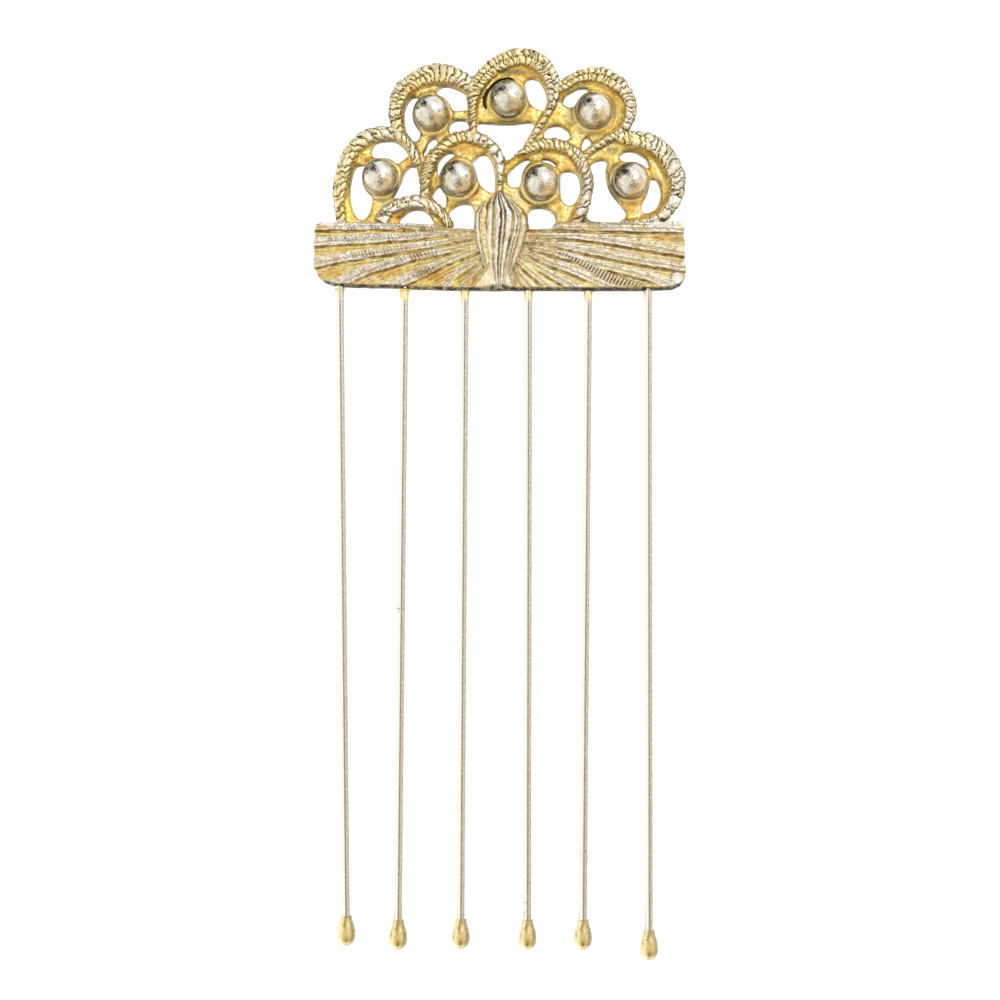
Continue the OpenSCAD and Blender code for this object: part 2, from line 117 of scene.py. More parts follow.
# Bands: the loop, and stations along it, each with the share of the length, width of a lobe, slant of the
# lobes, width of the plain inner flange, silver from 0 to 1, and how far the lobes are split into two rows
BANDS = [
    (FAR_LEFT, [
        (0, 0.75, 0.5, 1.1, 0.3, 0), (0.12, 0.75, 0.55, 0.7, 0.1, 0), (0.25, 0.8, 0.55, 0.25, 0, 0),
        (0.45, 0.85, 0.55, 0.1, 0.3, 0), (0.62, 1.05, 0.5, 0.1, 0.6, 0), (0.8, 0.85, 0.7, 0.05, 0.5, 0),
        (1, 0.8, 1.3, 0.05, 0.3, 0)]),
    (UPPER_LEFT, [
        (0, 0.9, 0.1, 0.1, 0.2, 0), (0.2, 0.7, 0.1, 0.1, 0.1, 0.2), (0.3, 0.6, 0.2, 0.1, 0.3, 1),
        (0.55, 0.55, 0.2, 0.2, 0.1, 1), (0.7, 0.65, 0, 0.1, 0.1, 0), (1, 0.7, -0.3, 0.1, 0.4, 0)]),
    (TOP, [
        (0, 0.6, 0.5, 0.1, 0.3, 0), (0.2, 0.6, 0.4, 0.1, 0.1, 0), (0.28, 0.6, 0, 0.1, 0.1, 0.8),
        (0.4, 0.55, 0.2, 0.1, 0.2, 1), (0.55, 0.6, 0.1, 0.25, 0.2, 1), (0.62, 0.8, 0.1, 0.3, 0.5, 1),
        (0.75, 0.85, -0.1, 0.1, 0.7, 1), (0.83, 0.7, 0.3, 0.1, 0.2, 0), (1, 0.6, 0.5, 0.1, 0, 0)]),
    (UPPER_RIGHT, [
        (0, 0.5, 0.2, 0.3, 0.1, 0.8), (0.2, 0.55, 0.1, 0.7, 0.1, 1), (0.35, 0.7, 0, 0.75, 0.3, 1),
        (0.5, 0.75, -0.1, 0.9, 0.4, 0), (0.68, 0.7, -0.2, 0.7, 0.7, 0), (0.8, 0.7, 0.5, 0.1, 0.4, 0),
        (1, 0.7, 0.8, 0.1, 0.1, 0)]),
    (MIDDLE_LEFT, [
        (0, 0.55, 0.6, 0.05, 0.2, 0), (0.25, 0.55, 0.6, 0.1, 0.1, 0), (0.4, 0.8, 0.5, 0.1, 0.1, 0),
        (0.5, 0.65, 0.1, 0.1, 0.2, 0), (0.6, 0.95, 0.1, 0.1, 0.7, 0), (0.8, 0.95, 0, 0.1, 0.9, 0),
        (1, 0.7, 0.2, 0.1, 0.1, 0)]),
    (MIDDLE_RIGHT, [
        (0, 0.6, 0.2, 0.9, 0, 0), (0.12, 0.55, 0.4, 0.8, 0, 0), (0.2, 0.5, 0.3, 0.2, 0.1, 0),
        (0.4, 0.6, 0.4, 0.1, 0.2, 0), (0.55, 0.6, 0.3, 0.1, 0.5, 1), (0.7, 1, 0.6, 0.1, 0.9, 0),
        (0.85, 1, 0.8, 0.1, 0.9, 0), (1, 0.9, 0.9, 0.3, 0.4, 0)]),
    (FAR_RIGHT, [
        (0, 0.8, 0.3, 0.1, 0.1, 0), (0.15, 0.9, 0.3, 0.15, 0.2, 0), (0.35, 0.8, 0.5, 0.3, 0.7, 0),
        (0.5, 0.85, 0.3, 0.35, 1, 0), (0.62, 1.1, 0.1, 0.3, 0.9, 0), (0.75, 0.9, 0.3, 0.3, 0.6, 0),
        (1, 0.55, 0.4, 0.1, 0.3, 0)]),
    (ARCH, [
        (0, 0.9, 0, 0.8, 0.8, 0), (0.2, 1, 0.2, 0.5, 1, 1), (0.5, 1.1, 0.4, 0.1, 1, 1),
        (0.6, 0.9, 1.6, 0.1, 0.7, 0), (1, 0.8, 2.4, 0.1, 0.3, 0)]),
]
# Height of a loop's crest, how far its lobes stand out, height of its flange, and depth of its notches
BAND_CREST = 2.3
BAND_RISE = 0.62
FLANGE_H = 1.5
NOTCH = 0.36

# Balls: x and y
BALLS = [
    (-15, 14), (-8.65, 22), (0.95, 23.8), (11.65, 22.3), (-5.3, 13.85), (5.05, 13.35), (16.25, 13.6),
]

# Openings of the web: x and y round each, from the far left to the far right
OPENINGS = [
    [(-18, 15.5), (-17, 15.6), (-16.8, 14.6), (-16.9, 13.5), (-16.6, 12.5), (-16.1, 11.7), (-16.2, 10.5),
     (-16.7, 9.3), (-17.3, 8.9), (-18, 9.2), (-18.6, 10.4), (-18.9, 11.8), (-18.8, 13.4), (-18.5, 14.7)],
    [(-16, 17.9), (-15.5, 18.6), (-14.2, 19), (-13.2, 18.9), (-12.3, 18.2), (-11.4, 17.4), (-11.7, 16.8),
     (-12.4, 16.2), (-13, 15.9), (-13.9, 16.5), (-15.2, 16.6), (-15.9, 16.7), (-16.1, 17.4)],
    [(-10.6, 15.6), (-10.3, 14.3), (-9.8, 12), (-11, 11.5), (-12.3, 11.4), (-13.4, 11.4), (-12.9, 12.6),
     (-12.4, 13.6), (-12.1, 14.5), (-11.5, 15.3)],
    [(-12.6, 8.8), (-12, 9.4), (-10.9, 10.1), (-9.7, 10), (-8.9, 9.4), (-8.4, 8.4), (-9.1, 8.3),
     (-10.7, 8.2), (-12.3, 8.3)],
    [(-11.2, 24), (-10.5, 24.2), (-10.3, 23.9), (-10.8, 23), (-10.9, 21.7), (-10.5, 20.6), (-10.1, 19.8),
     (-10.3, 19), (-10.9, 18.7), (-11.5, 19.4), (-11.9, 20.4), (-12.1, 21.8), (-11.8, 23.1)],
    [(-8, 24.9), (-7.3, 25.5), (-6.4, 25.6), (-5.3, 25.2), (-4.5, 25), (-4.2, 24.1), (-4, 22.8),
     (-5, 22.6), (-5.9, 22.6), (-6.3, 23.3), (-7, 24.1), (-7.8, 24.5)],
    [(-6.4, 20.4), (-6.1, 21), (-5.3, 21.3), (-4.3, 21.2), (-3.9, 20.6), (-4.1, 20), (-5.1, 19.7),
     (-6, 19.4), (-6.3, 19.8)],
    [(-9.3, 17.7), (-9, 18.5), (-8.3, 19), (-7.9, 18.7), (-8, 17.9), (-8.7, 17), (-9.4, 16.8),
     (-9.6, 17.2)],
    [(-7.8, 16), (-7.4, 16.8), (-6.4, 17.2), (-5.7, 17), (-6.1, 16.6), (-7, 15.8), (-7.5, 14.7),
     (-7.8, 14.2), (-7.9, 15.1)],
    [(-7.5, 13), (-7, 12.3), (-6.8, 11.5), (-6.9, 10.5), (-7.4, 10.4), (-8.1, 11.1), (-8.5, 11.7),
     (-8.1, 12.6)],
    [(-3.2, 16.3), (-2.7, 16.8), (-1.9, 17), (-1.3, 16.5), (-0.8, 15.2), (-0.6, 13.7), (-0.8, 12.4),
     (-1.4, 12.4), (-2.3, 13), (-2.9, 14), (-3.1, 15.1), (-3.5, 15.9)],
    [(-6.4, 9.6), (-6, 10.2), (-5.1, 10.7), (-4.3, 10.8), (-3.6, 10.6), (-3.3, 9.7), (-3.3, 8.5),
     (-3.4, 7.5), (-4.1, 7.2), (-5.3, 7.2), (-6, 7.6), (-6.4, 8.5)],
    [(3.1, 26), (3.7, 26.5), (4.6, 26.4), (5.2, 25.9), (5.7, 24.9), (5.9, 23.8), (5.6, 22.6), (4.9, 22.7),
     (4.1, 23.1), (3.5, 23.9), (3.2, 25)],
    [(-2.8, 20.9), (-1.4, 20.9), (0, 20.8), (1.5, 20.8), (3.1, 21), (4, 21), (4.4, 20.4), (3.9, 19),
     (3.3, 17.9), (2.3, 17), (1.2, 16.5), (0.2, 16.5), (-0.4, 17.4), (-1.6, 18.6), (-3, 19.4),
     (-3.2, 20.2)],
    [(7.9, 23.7), (8.4, 24.6), (9.3, 25.2), (10.5, 25.4), (11.1, 25), (10.3, 24.5), (9.8, 23.9),
     (9.3, 23.1), (8.6, 23), (8, 23.3)],
    [(5.5, 19.6), (5.9, 20.3), (6.8, 20.6), (7.7, 20.5), (8.5, 19.9), (8.7, 19.3), (8.4, 18.9),
     (7.4, 18.5), (6.3, 18.6), (5.7, 19)],
    [(10.9, 19.1), (11.3, 18.7), (11.4, 18), (10.9, 17.6), (10.4, 17.5), (10.2, 17.9), (10.3, 18.5),
     (10.6, 19)],
    [(0.9, 13.9), (1.1, 14.7), (1.9, 15.6), (3, 16.3), (3.8, 16.3), (3.2, 15.6), (2.7, 14.7), (2.6, 13.7),
     (2.3, 13.1), (1.5, 13), (1, 13.4)],
    [(5.3, 16.4), (6.2, 16.3), (6.9, 15.8), (6.8, 15.5), (6.1, 15.9), (5.3, 16.1)],
    [(7.6, 14.4), (7.9, 14.8), (8.7, 14.9), (9.5, 14.6), (9.9, 13.8), (10, 12.7), (9.7, 11.7),
     (9.2, 10.9), (8.6, 10.7), (8, 11), (7.7, 11.6), (7.5, 12.9), (7.5, 13.9)],
    [(3.5, 9.6), (3.9, 10.1), (4.7, 10.3), (5.6, 10.2), (6.4, 9.8), (6.9, 9.1), (6.7, 8.3), (6.1, 7.6),
     (4.9, 7.2), (3.9, 7.5), (3.5, 8.5)],
    [(11.4, 15.8), (12.1, 16.2), (13, 16.3), (13.4, 15.9), (13.2, 15.1), (13.3, 13.7), (13.8, 12.3),
     (14.8, 11), (15.6, 10), (15.7, 9.4), (14.9, 8.6), (13.8, 8.5), (12.4, 8.6), (11, 9), (10.6, 10.8),
     (10.9, 12.4), (11, 14), (11, 15.3)],
    [(15, 16.8), (15.5, 17.3), (16.5, 17.4), (17.5, 17), (18.3, 16.4), (18.6, 15.6), (18.4, 15.3),
     (17.6, 15.8), (16.7, 16.1), (15.7, 16.1), (15.1, 16.4)],
    [(18.9, 13.9), (19.5, 13.8), (20, 12.9), (20.1, 11.8), (19.6, 10.5), (18.9, 9.9), (18.1, 9.8),
     (17.7, 10.2), (17.9, 11), (18.4, 12), (18.6, 12.9), (18.7, 13.6)],
]
# Height of the web, radius of a ball's seat, radius, height and soft edge of the rim round it, and the
# fillets at the openings and the seats
WEB_H = 1.4
SEAT_R = 2.36
RIM_R = 2.45
RIM_H = 1.85
RIM_FADE = 0.4
OPENING_FILLET = 0.15
SEAT_FILLET = 0.25

# Deep groove beside the top ball, painted dark as shade in it: height of its floor, then x, y and width
CRESCENT_H = 0.6
CRESCENT = [
    (-1.8, 22.8, 0.15), (-2, 23.3, 0.3), (-2, 24, 0.36), (-1.6, 24.9, 0.34), (-0.75, 25.85, 0.28),
    (0.15, 26.35, 0.22), (0.9, 26.5, 0.22), (1.4, 26.35, 0.18), (1.8, 26.05, 0.1),
]

# Outline of the bar: x and y, anticlockwise from the lower left corner
BAR = [
    (-20.7, 0.55), (-15.7, 0.35), (-12.7, 0.25), (-6.7, 0.05), (0, 0), (13, 0), (17.5, 0), (21.5, 0.15),
    (22.5, 0.6), (23.05, 1.4), (23.2, 2.6), (22.95, 3.4), (23.05, 4.2), (22.9, 5.1), (23.05, 5.8),
    (22.9, 6.6), (22.95, 7.75), (22.7, 8.25), (22.2, 8.5), (7, 8.4), (6.4, 7.65), (2.8, 7.45),
    (-2.3, 7.5), (-6.7, 7.65), (-8.7, 8.15), (-22.5, 8.45), (-23, 8.2), (-23.3, 7.3), (-23.1, 6.6),
    (-23.4, 5.9), (-23.4, 5.2), (-23.15, 4.6), (-23.35, 3.7), (-23.25, 2.8), (-22.7, 1.6), (-22, 1),
]
# Height of the bar's crests, depth of its flutes, and pitches of the fine ridges and teeth along them
BAR_CREST = 2.6
FLUTE = 0.5
RIDGE_PITCH = 0.42
TOOTH_PITCH = 0.44
BOLD_TOOTH_PITCH = 0.42
# Crests of the bar's ribs: x and y from the outer end to the leaf, then the stretch with teeth, in x
LEFT_RIBS = [
    ([(-23.2, 7.9), (-15, 8), (-9, 7.85), (-5, 7.6)], -20, -8),
    ([(-23.1, 5.9), (-20.1, 6.1), (-16.3, 6.25), (-12.6, 6.5), (-8.8, 6.9), (-5, 7.25)], -21.5, -10),
    ([(-22.8, 3.3), (-19.4, 4), (-16.9, 4.4), (-13.8, 4.9), (-10.1, 5.4), (-6.3, 6.1), (-3.2, 6.75)],
     -18.5, -11),
    ([(-19.4, 1), (-16.9, 2.25), (-14.4, 3.1), (-11.3, 4), (-7.6, 4.75), (-3.2, 5.75)], -17.8, -7.4),
    ([(-12.6, 0.75), (-10.7, 1.6), (-8.8, 2.5), (-6.9, 3.5), (-3.8, 4.75), (-2.8, 5.1)], -11, -6.5),
    ([(-6.6, 0.5), (-5.7, 1.9), (-4.4, 2.75), (-2.6, 4.1)], 0, 0),
    ([(-4.4, 0.75), (-3.2, 2.25), (-2.2, 3.5)], 0, 0),
]
RIGHT_RIBS = [
    ([(5.6, 7.8), (9.3, 7.75), (14.9, 7.75), (22.9, 7.6)], 0, 0),
    ([(4.3, 6.75), (8.7, 6.75), (12.4, 6.4), (17.4, 5.6), (22.8, 4.6)], 0, 0),
    ([(3.7, 5.9), (7.4, 5.6), (12.4, 4.6), (17.4, 3.6), (22.9, 2.75)], 0, 0),
    ([(3.3, 5.4), (7.4, 4.5), (11.2, 3.4), (14.9, 2.5), (18.7, 1.6), (21.4, 0.5)], 0, 0),
    ([(3.1, 4.75), (6.2, 3.4), (8.4, 2.7), (12.4, 0.9)], 0, 0),
    ([(2.8, 4.1), (4.9, 2.75), (8.7, 0.6)], 0, 0),
    ([(2.4, 3.5), (4.3, 1.9), (6.2, 0.25)], 0, 0),
    ([(1.9, 2.75), (2.9, 1.25), (4.1, 0.25)], 0, 0),
    ([(1.6, 1.75), (2.1, 0.25)], 0, 0),
]
# Bold row of teeth under the right bar's fourth rib: x, y and width
BOLD_TEETH = [
    (6.9, 4.75, 0.3), (9, 3.85, 0.5), (10.75, 3, 0.8), (12.1, 2.15, 1.1), (13.6, 1.5, 1.4),
    (15.1, 0.95, 1.1), (16.7, 0.7, 0.7), (17.75, 0.55, 0.4),
]

# Leaf and sepals: y, the left edge, the right edge, and the share of the full height
LEAF = [
    (12.1, -0.45, 0.2, 0.5), (11.35, -1.15, 0.95, 0.7), (10.6, -1.5, 1.6, 0.85), (9.75, -1.65, 2.2, 0.95),
    (8.75, -1.75, 2.35, 1), (6.9, -1.8, 2.1, 1), (5, -1.65, 1.5, 0.9), (3.1, -1.4, 1, 0.75),
    (1.25, -1, 0.65, 0.5), (0.15, -0.8, 0.35, 0.25),
]
LEFT_SEPAL = [
    (10.9, -2.2, -1.5, 0.3), (9.5, -3.1, -1.5, 0.8), (8.1, -3.2, -1.5, 1), (6, -3, -1.4, 0.9),
    (3.6, -2.3, -1.2, 0.6), (0.75, -1.3, -0.8, 0.2),
]
RIGHT_SEPAL = [
    (11.3, 0.8, 1.3, 0.3), (10.1, 1.7, 2.7, 0.6), (9.1, 2.1, 3.35, 0.9), (7.6, 2, 3.45, 1),
    (5.3, 1.4, 2.9, 0.9), (3.1, 0.9, 2, 0.6), (0.6, 0.4, 0.95, 0.2),
]
LEAF_TOP = 3.5
SEPAL_TOP = 3
# Section across the leaf and a sepal: share of the width and share of the groove's depth
LEAF_SECTION = [
    (0, 0.9), (0.03, 0.1), (0.08, 0), (0.15, 0.05), (0.19, 0.85), (0.27, 0.6), (0.31, 0.05), (0.36, 0),
    (0.41, 0.1), (0.44, 1), (0.47, 1), (0.5, 0.15), (0.54, 0.05), (0.57, 0.75), (0.61, 0.7), (0.64, 0.05),
    (0.7, 0), (0.76, 0.1), (0.79, 0.9), (0.84, 0.85), (0.88, 0.1), (0.93, 0.1), (0.96, 0.8), (1, 1),
]
SEPAL_SECTION = [
    (0, 0.8), (0.05, 0.1), (0.13, 0), (0.22, 0.1), (0.3, 0.8), (0.4, 0.4), (0.6, 0.15), (0.78, 0.3),
    (0.9, 0.8), (1, 1),
]

# Tines: x at the socket, x at the tip, and y of the tip's end
TINES = [
    (-20.1, -19.3, -82.1), (-12, -12.85, -82.6), (-4.45, -5, -82.5), (3.5, 3.35, -82.6),
    (11, 10.3, -82.6), (18.5, 18.6, -83.9),
]
# Half outline of a drop tip: share of its length from the end, and of its radius
DROP = [
    (0, 0), (0.02, 0.32), (0.08, 0.6), (0.18, 0.88), (0.28, 0.98), (0.38, 1), (0.5, 0.97), (0.65, 0.88),
    (0.82, 0.7), (0.92, 0.63), (1, 0.6),
]

# Orange-brown lacquer left in hollows: x, y, half sizes, and strength
LACQUER = [
    (-22.3, 7.6, 1.2, 0.5, 0.9), (-15.3, 2.1, 2.8, 0.7, 0.8), (-8.3, 2, 1.8, 0.9, 0.9),
    (-3.4, 0.9, 0.9, 0.6, 0.6), (-21.2, 2, 1.4, 0.5, 0.6), (-21.3, 4.7, 1.8, 0.4, 0.4),
    (-12, 5.2, 2.2, 0.3, 0.45), (-18.8, 5.2, 1.6, 0.3, 0.4), (20.5, 6.4, 2, 0.4, 0.9),
    (9.5, 7.9, 2.4, 0.5, 0.5), (4, 7, 1, 0.6, 0.4), (-12.9, 9, 1, 0.6, 0.9), (2.7, 27, 1.2, 0.5, 1),
    (-4.2, 17.8, 1.6, 0.5, 1), (13.8, 24.2, 1.3, 1.1, 0.6), (-11.2, 24.9, 0.9, 0.4, 0.7),
    (-16.8, 16.4, 0.9, 0.5, 0.7), (18.9, 15, 0.9, 0.5, 0.8), (16.3, 10.3, 0.8, 0.6, 0.9),
    (8.1, 15.3, 0.8, 0.7, 0.8), (7, 10.9, 0.6, 0.6, 0.7), (-3.2, 11.9, 0.9, 0.8, 0.8),
    (-11.5, 15.6, 0.6, 0.6, 0.7), (-8.2, 19.8, 0.8, 0.4, 0.6), (-20, 9.5, 0.4, 1, 0.5),
    (11.9, 20.2, 1, 0.5, 0.9), (3.6, 22.2, 0.7, 1, 0.5), (9.6, 8.9, 0.7, 0.7, 0.9),
]
# Painted shade on the web and loops: x, y, half sizes, and how much darker, or with a minus how much
# lighter
PAINTED_SHADE_PATCHES = [
    (-8.9, 19, 1.6, 2.6, -0.9), (2.4, 12, 1.5, 1.6, -0.85), (-3.9, 11.6, 2.2, 1.8, -0.95),
    (-15, 11.2, 1.7, 0.7, -0.8), (4.2, 19.4, 0.9, 1.9, -0.8), (9.2, 25.3, 1.6, 0.8, -0.8),
    (-9, 25.5, 4, 0.6, -0.8), (-10.7, 10.6, 3.5, 1, -0.7), (10.2, 16.8, 1.6, 1.2, -0.6),
    (17.6, 17.7, 2.6, 0.6, -0.6), (-11.4, 13.2, 0.6, 3, -0.5), (0.3, 1.8, 1.3, 2, -0.5),
    (-8.8, 15.6, 1.4, 1.5, -0.7), (-11.2, 24.7, 0.9, 0.8, -0.6), (-2.3, 25.4, 0.8, 1.4, -0.6),
    (-1.3, 3.4, 0.8, 1.2, -0.8), (15.2, 1.9, 3, 0.8, -0.5), (2.5, 0.7, 1, 0.8, -0.6),
    (4.6, 26.6, 0.7, 1.4, -0.5), (-17.3, 15.9, 1, 0.7, -0.5), (-20.2, 9.7, 0.6, 1, -0.5),
    (-15.5, 9.1, 0.8, 0.8, -0.6), (-19.6, 13.5, 0.9, 3, -0.3), (13.9, 22.8, 0.7, 1.6, 0.6),
    (8.6, 21.4, 0.8, 1.2, 0.25), (11.2, 8.8, 1.8, 0.8, 0.5), (1.6, 27.3, 2, 0.5, 0.6),
    (14.3, 12.4, 0.8, 1.6, 0.7), (0.8, 21.3, 2.2, 0.3, 0.4), (15.2, 26.9, 1.6, 1, 0.25),
    (16.8, 23.8, 0.8, 1.6, 0.3), (-7.3, 27.7, 1.6, 0.9, 0.3), (3.8, 29.7, 1.3, 0.7, 0.3),
    (21.8, 16.9, 1, 2, 0.3), (22.8, 12.9, 0.7, 1.6, 0.3), (19.3, 19.6, 1.6, 0.8, 0.25),
    (22.3, 6.3, 1, 0.5, 0.3), (-9.8, 2.3, 1.6, 0.8, 0.25), (-16.9, 20.4, 1.6, 0.7, 0.3),
    (9.6, 22.9, 0.6, 1.2, 0.4), (-13.3, 12.6, 0.7, 0.8, 0.5), (13.9, 17.4, 0.8, 0.6, 0.5),
    (10.6, 13.4, 1, 2.2, 0.2),
]
# Painted reflections on a ball as seen from above, with its radius as 1: x, y and half sizes
BALL_DARK_REFLECTIONS = [
    (-0.74, 0.32, 0.24, 0.36), (-0.58, 0.6, 0.36, 0.3), (-0.22, 0.82, 0.38, 0.2),
    (-0.4, 0.44, 0.26, 0.18), (-0.92, 0, 0.12, 0.4),
]
BALL_WARM_REFLECTIONS = [(0.5, -0.45, 0.5, 0.42), (0.3, -0.75, 0.55, 0.28), (0.86, 0.1, 0.24, 0.7)]
BALL_DIM_REFLECTIONS = [
    (-0.22, 0.3, 0.24, 0.16), (0, 0.1, 0.2, 0.14), (0.1, -0.14, 0.14, 0.18), (0.16, -0.42, 0.13, 0.15),
    (0.5, 0.02, 0.16, 0.12), (0.5, -0.84, 0.5, 0.12),
]
# Rough specks on the wires: number of the wire, distance from the bar, and size
SPECKS = [(4, 77.4, 1.3), (4, 74, 0.6), (5, 70.5, 0.7), (5, 49, 0.5), (2, 40, 0.4)]
# Solder round the wires' upper ends, from none at 0 to a full collar at 1
COLLARS = [0.3, 0.9, 0.9, 0.7, 0.8, 0.2]

# Colours of the head's metal
GOLD = (0.97, 0.87, 0.52, 1)
AMBER = (0.95, 0.68, 0.13, 1)
SILVER = (0.95, 0.91, 0.85, 1)
BEIGE = (0.74, 0.61, 0.39, 1)
BROWN = (0.86, 0.48, 0.13, 1)
# Colour of painted shade in hollows and under edges
DEEP_SHADE_OLIVE = (0.05, 0.045, 0.025, 1)
# Colour of dirt and of painted shade
SHADE_AND_DIRT = (0.2, 0.145, 0.07, 1)

# Grid over the head

X0, X1 = -24.2, 24.2
Y0, Y1 = -1.2, 31
Z0, Z1 = -0.3, 4
xs = np.arange(X0, X1, PITCH, dtype=np.float32)
ys = np.arange(Y0, Y1, PITCH, dtype=np.float32)
zs = np.arange(Z0, Z1, PITCH, dtype=np.float32)
GX, GY = np.meshgrid(xs, ys, indexing="ij")
FAR = np.float32(9)
FULL_TURN = 2 * math.pi


def smooth(v):
    v = np.clip(v, 0, 1)
    return v * v * (3 - 2 * v)


def ramp(v, start, end):
    """From 0 at start to 1 at end, smoothly."""
    return smooth((v - start) / (end - start))


def lower(a, b, fillet):
    """The smaller of two distances, rounded where they meet."""
    return np.minimum(a, b) - fillet / 4 * np.maximum(1 - np.abs(a - b) / fillet, 0) ** 2


def upper(a, b, fillet):
    return -lower(-a, -b, fillet)


def mix(a, b, share):
    return a + (b - a) * share


def sample(grid, i, j, f, g):
    """Values of a grid at shares f and g of the way from row i and column j to the next ones."""
    return mix(mix(grid[i, j], grid[i + 1, j], f), mix(grid[i, j + 1], grid[i + 1, j + 1], f), g)


def grain(cell, seed):
    """Smooth noise over the head from -1 to 1, its bumps about a cell wide."""
    u, v = (GX - X0) / cell, (GY - Y0) / cell
    i, j = u.astype(int), v.astype(int)
    knots = np.random.default_rng(seed).uniform(-1, 1, (i.max() + 2, j.max() + 2))
    return sample(knots, i, j, smooth(u - i), smooth(v - j)).astype(np.float32)


def waves(run, pitch, wander):
    """From 0 to 1 and back once in each pitch, with the waves pushed along by wander."""
    return 0.5 - 0.5 * np.cos(FULL_TURN * run / pitch + wander)


def blur(field, radius):
    """Gaussian blur, radius in mm."""
    fx = np.fft.fftfreq(field.shape[0], PITCH)[:, None]
    fy = np.fft.rfftfreq(field.shape[1], PITCH)[None, :]
    weight = np.exp(-2 * (math.pi * radius) ** 2 * (fx ** 2 + fy ** 2))
    return np.fft.irfft2(np.fft.rfft2(field) * weight, field.shape).astype(np.float32)


def grid_window(low_corner, high_corner):
    """The part of the grid between two corners."""
    i0, j0 = ((np.array(low_corner) - [X0, Y0]) / PITCH).astype(int).clip(0)
    i1, j1 = ((np.array(high_corner) - [X0, Y0]) / PITCH).astype(int) + 1
    return slice(i0, i1), slice(j0, j1)


def on_curve(rows, t):
    """Points of a smooth curve through the rows of a table, t counting the rows."""
    rows = np.array(rows, float)
    last = len(rows) - 1
    i = np.clip(t.astype(int), 0, last - 1)
    f = (t - i)[:, None]
    before, start, end, after = (rows[np.clip(i + k, 0, last)] for k in (-1, 0, 1, 2))
    bend = 2 * before - 5 * start + 4 * end - after + f * (3 * (start - end) + after - before)
    return start + 0.5 * f * (end - before + f * bend)


def along(rows):
    """Distance run along a band, offset to its left and its width, for the part of the grid near it."""
    step = 0.04
    curve = on_curve(rows, np.arange(0, len(rows) - 1 + 1e-6, step))
    middle = curve[:, :2]
    reach = np.concatenate([[0], np.cumsum(np.hypot(*np.diff(middle, axis=0).T))])
    tangent = np.gradient(middle, reach, axis=0)
    tangent /= np.linalg.norm(tangent, axis=1)[:, None]
    near = 2.6
    window = grid_window(middle.min(0) - near, middle.max(0) + near)
    px, py = GX[window], GY[window]
    best = np.full(px.shape, 1e9, np.float32)
    nearest = np.zeros(px.shape, int)
    for k, (x, y) in enumerate(middle):
        squared = (px - x) ** 2 + (py - y) ** 2
        closer = squared < best
        best[closer] = squared[closer]
        nearest[closer] = k
    dx, dy = px - middle[nearest, 0], py - middle[nearest, 1]
    tx, ty = tangent[nearest, 0], tangent[nearest, 1]
    run = reach[nearest] + dx * tx + dy * ty
    return window, run, dy * tx - dx * ty, np.interp(run, reach, curve[:, 2]), reach[-1]


def oval(x, y, half_x=1, half_y=1):
    """Distance from a point in mm or, with half sizes, from an oval's middle with 1 at its edge."""
    return np.hypot((GX - x) / half_x, (GY - y) / half_y)


def to_line(x0, y0, x1, y1):
    """Squared distance to a straight line, and the nearest point's share of its length."""
    ax, ay = x1 - x0, y1 - y0
    share = np.clip(((GX - x0) * ax + (GY - y0) * ay) / (ax * ax + ay * ay), 0, 1)
    return (GX - x0 - share * ax) ** 2 + (GY - y0 - share * ay) ** 2, share


def chain(rows):
    """Distance to a row of circles joined by straight arms. Each row gives x, y and the width."""
    distance = np.full(GX.shape, FAR)
    for (x0, y0, width0), (x1, y1, width1) in zip(rows, rows[1:]):
        squared, share = to_line(x0, y0, x1, y1)
        distance = np.minimum(distance, np.sqrt(squared) - mix(width0, width1, share) / 2)
    return distance


def polygon(points):
    """Distance to a closed outline, negative inside."""
    squared = np.full(GX.shape, 1e9, np.float32)
    inside = np.zeros(GX.shape, bool)
    for (x0, y0), (x1, y1) in zip(points, points[1:] + points[:1]):
        squared = np.minimum(squared, to_line(x0, y0, x1, y1)[0])
        if y1 != y0:
            crosses = (y0 > GY) != (y1 > GY)
            inside ^= crosses & (GX < (x1 - x0) * (GY - y0) / (y1 - y0) + x0)
    distance = np.sqrt(squared)
    return np.where(inside, -distance, distance)


def rounded(points):
    """A smooth closed outline through the points."""
    ring = points[-2:] + points + points[:3]
    return [tuple(point) for point in on_curve(ring, np.arange(2, len(points) + 2, 0.25))]


def column(rows, at, k):
    """Values of column k of a table, whose first column is its position, at every point."""
    rows = sorted(rows)
    return np.interp(at, [row[0] for row in rows], [row[k] for row in rows]).astype(np.float32)


def on_grid(values, window, outside=0):
    """A map of the whole grid, with the values in the window."""
    whole = np.full(GX.shape, outside, np.float32)
    whole[window] = values
    return whole


# The grime look holds dirt and painted shade together, and the deep look holds painted shade in hollows
# and under edges
LOOKS = ("amber", "silver", "beige", "grime", "deep_shade", "lines", "across", "lengthwise", "grit")


class Layer:
    """One part of the head: its outline, its height, and maps of what its metal looks like.

    The maps may cover a window of the grid only. A look that isn't given is 0.
    """

    def __init__(self, outline, height, window=..., **looks):
        self.outline = on_grid(outline, window, FAR)
        self.height = on_grid(height, window)
        self.looks = {name: on_grid(looks.get(name, 0), window) for name in LOOKS}


# Unevenness of the casting from slow to fine
SLOW = grain(2.2, 1)
MEDIUM = grain(0.8, 2)
FINE = grain(0.3, 3)
GRIT = grain(0.2, 4)

# Parts of the head


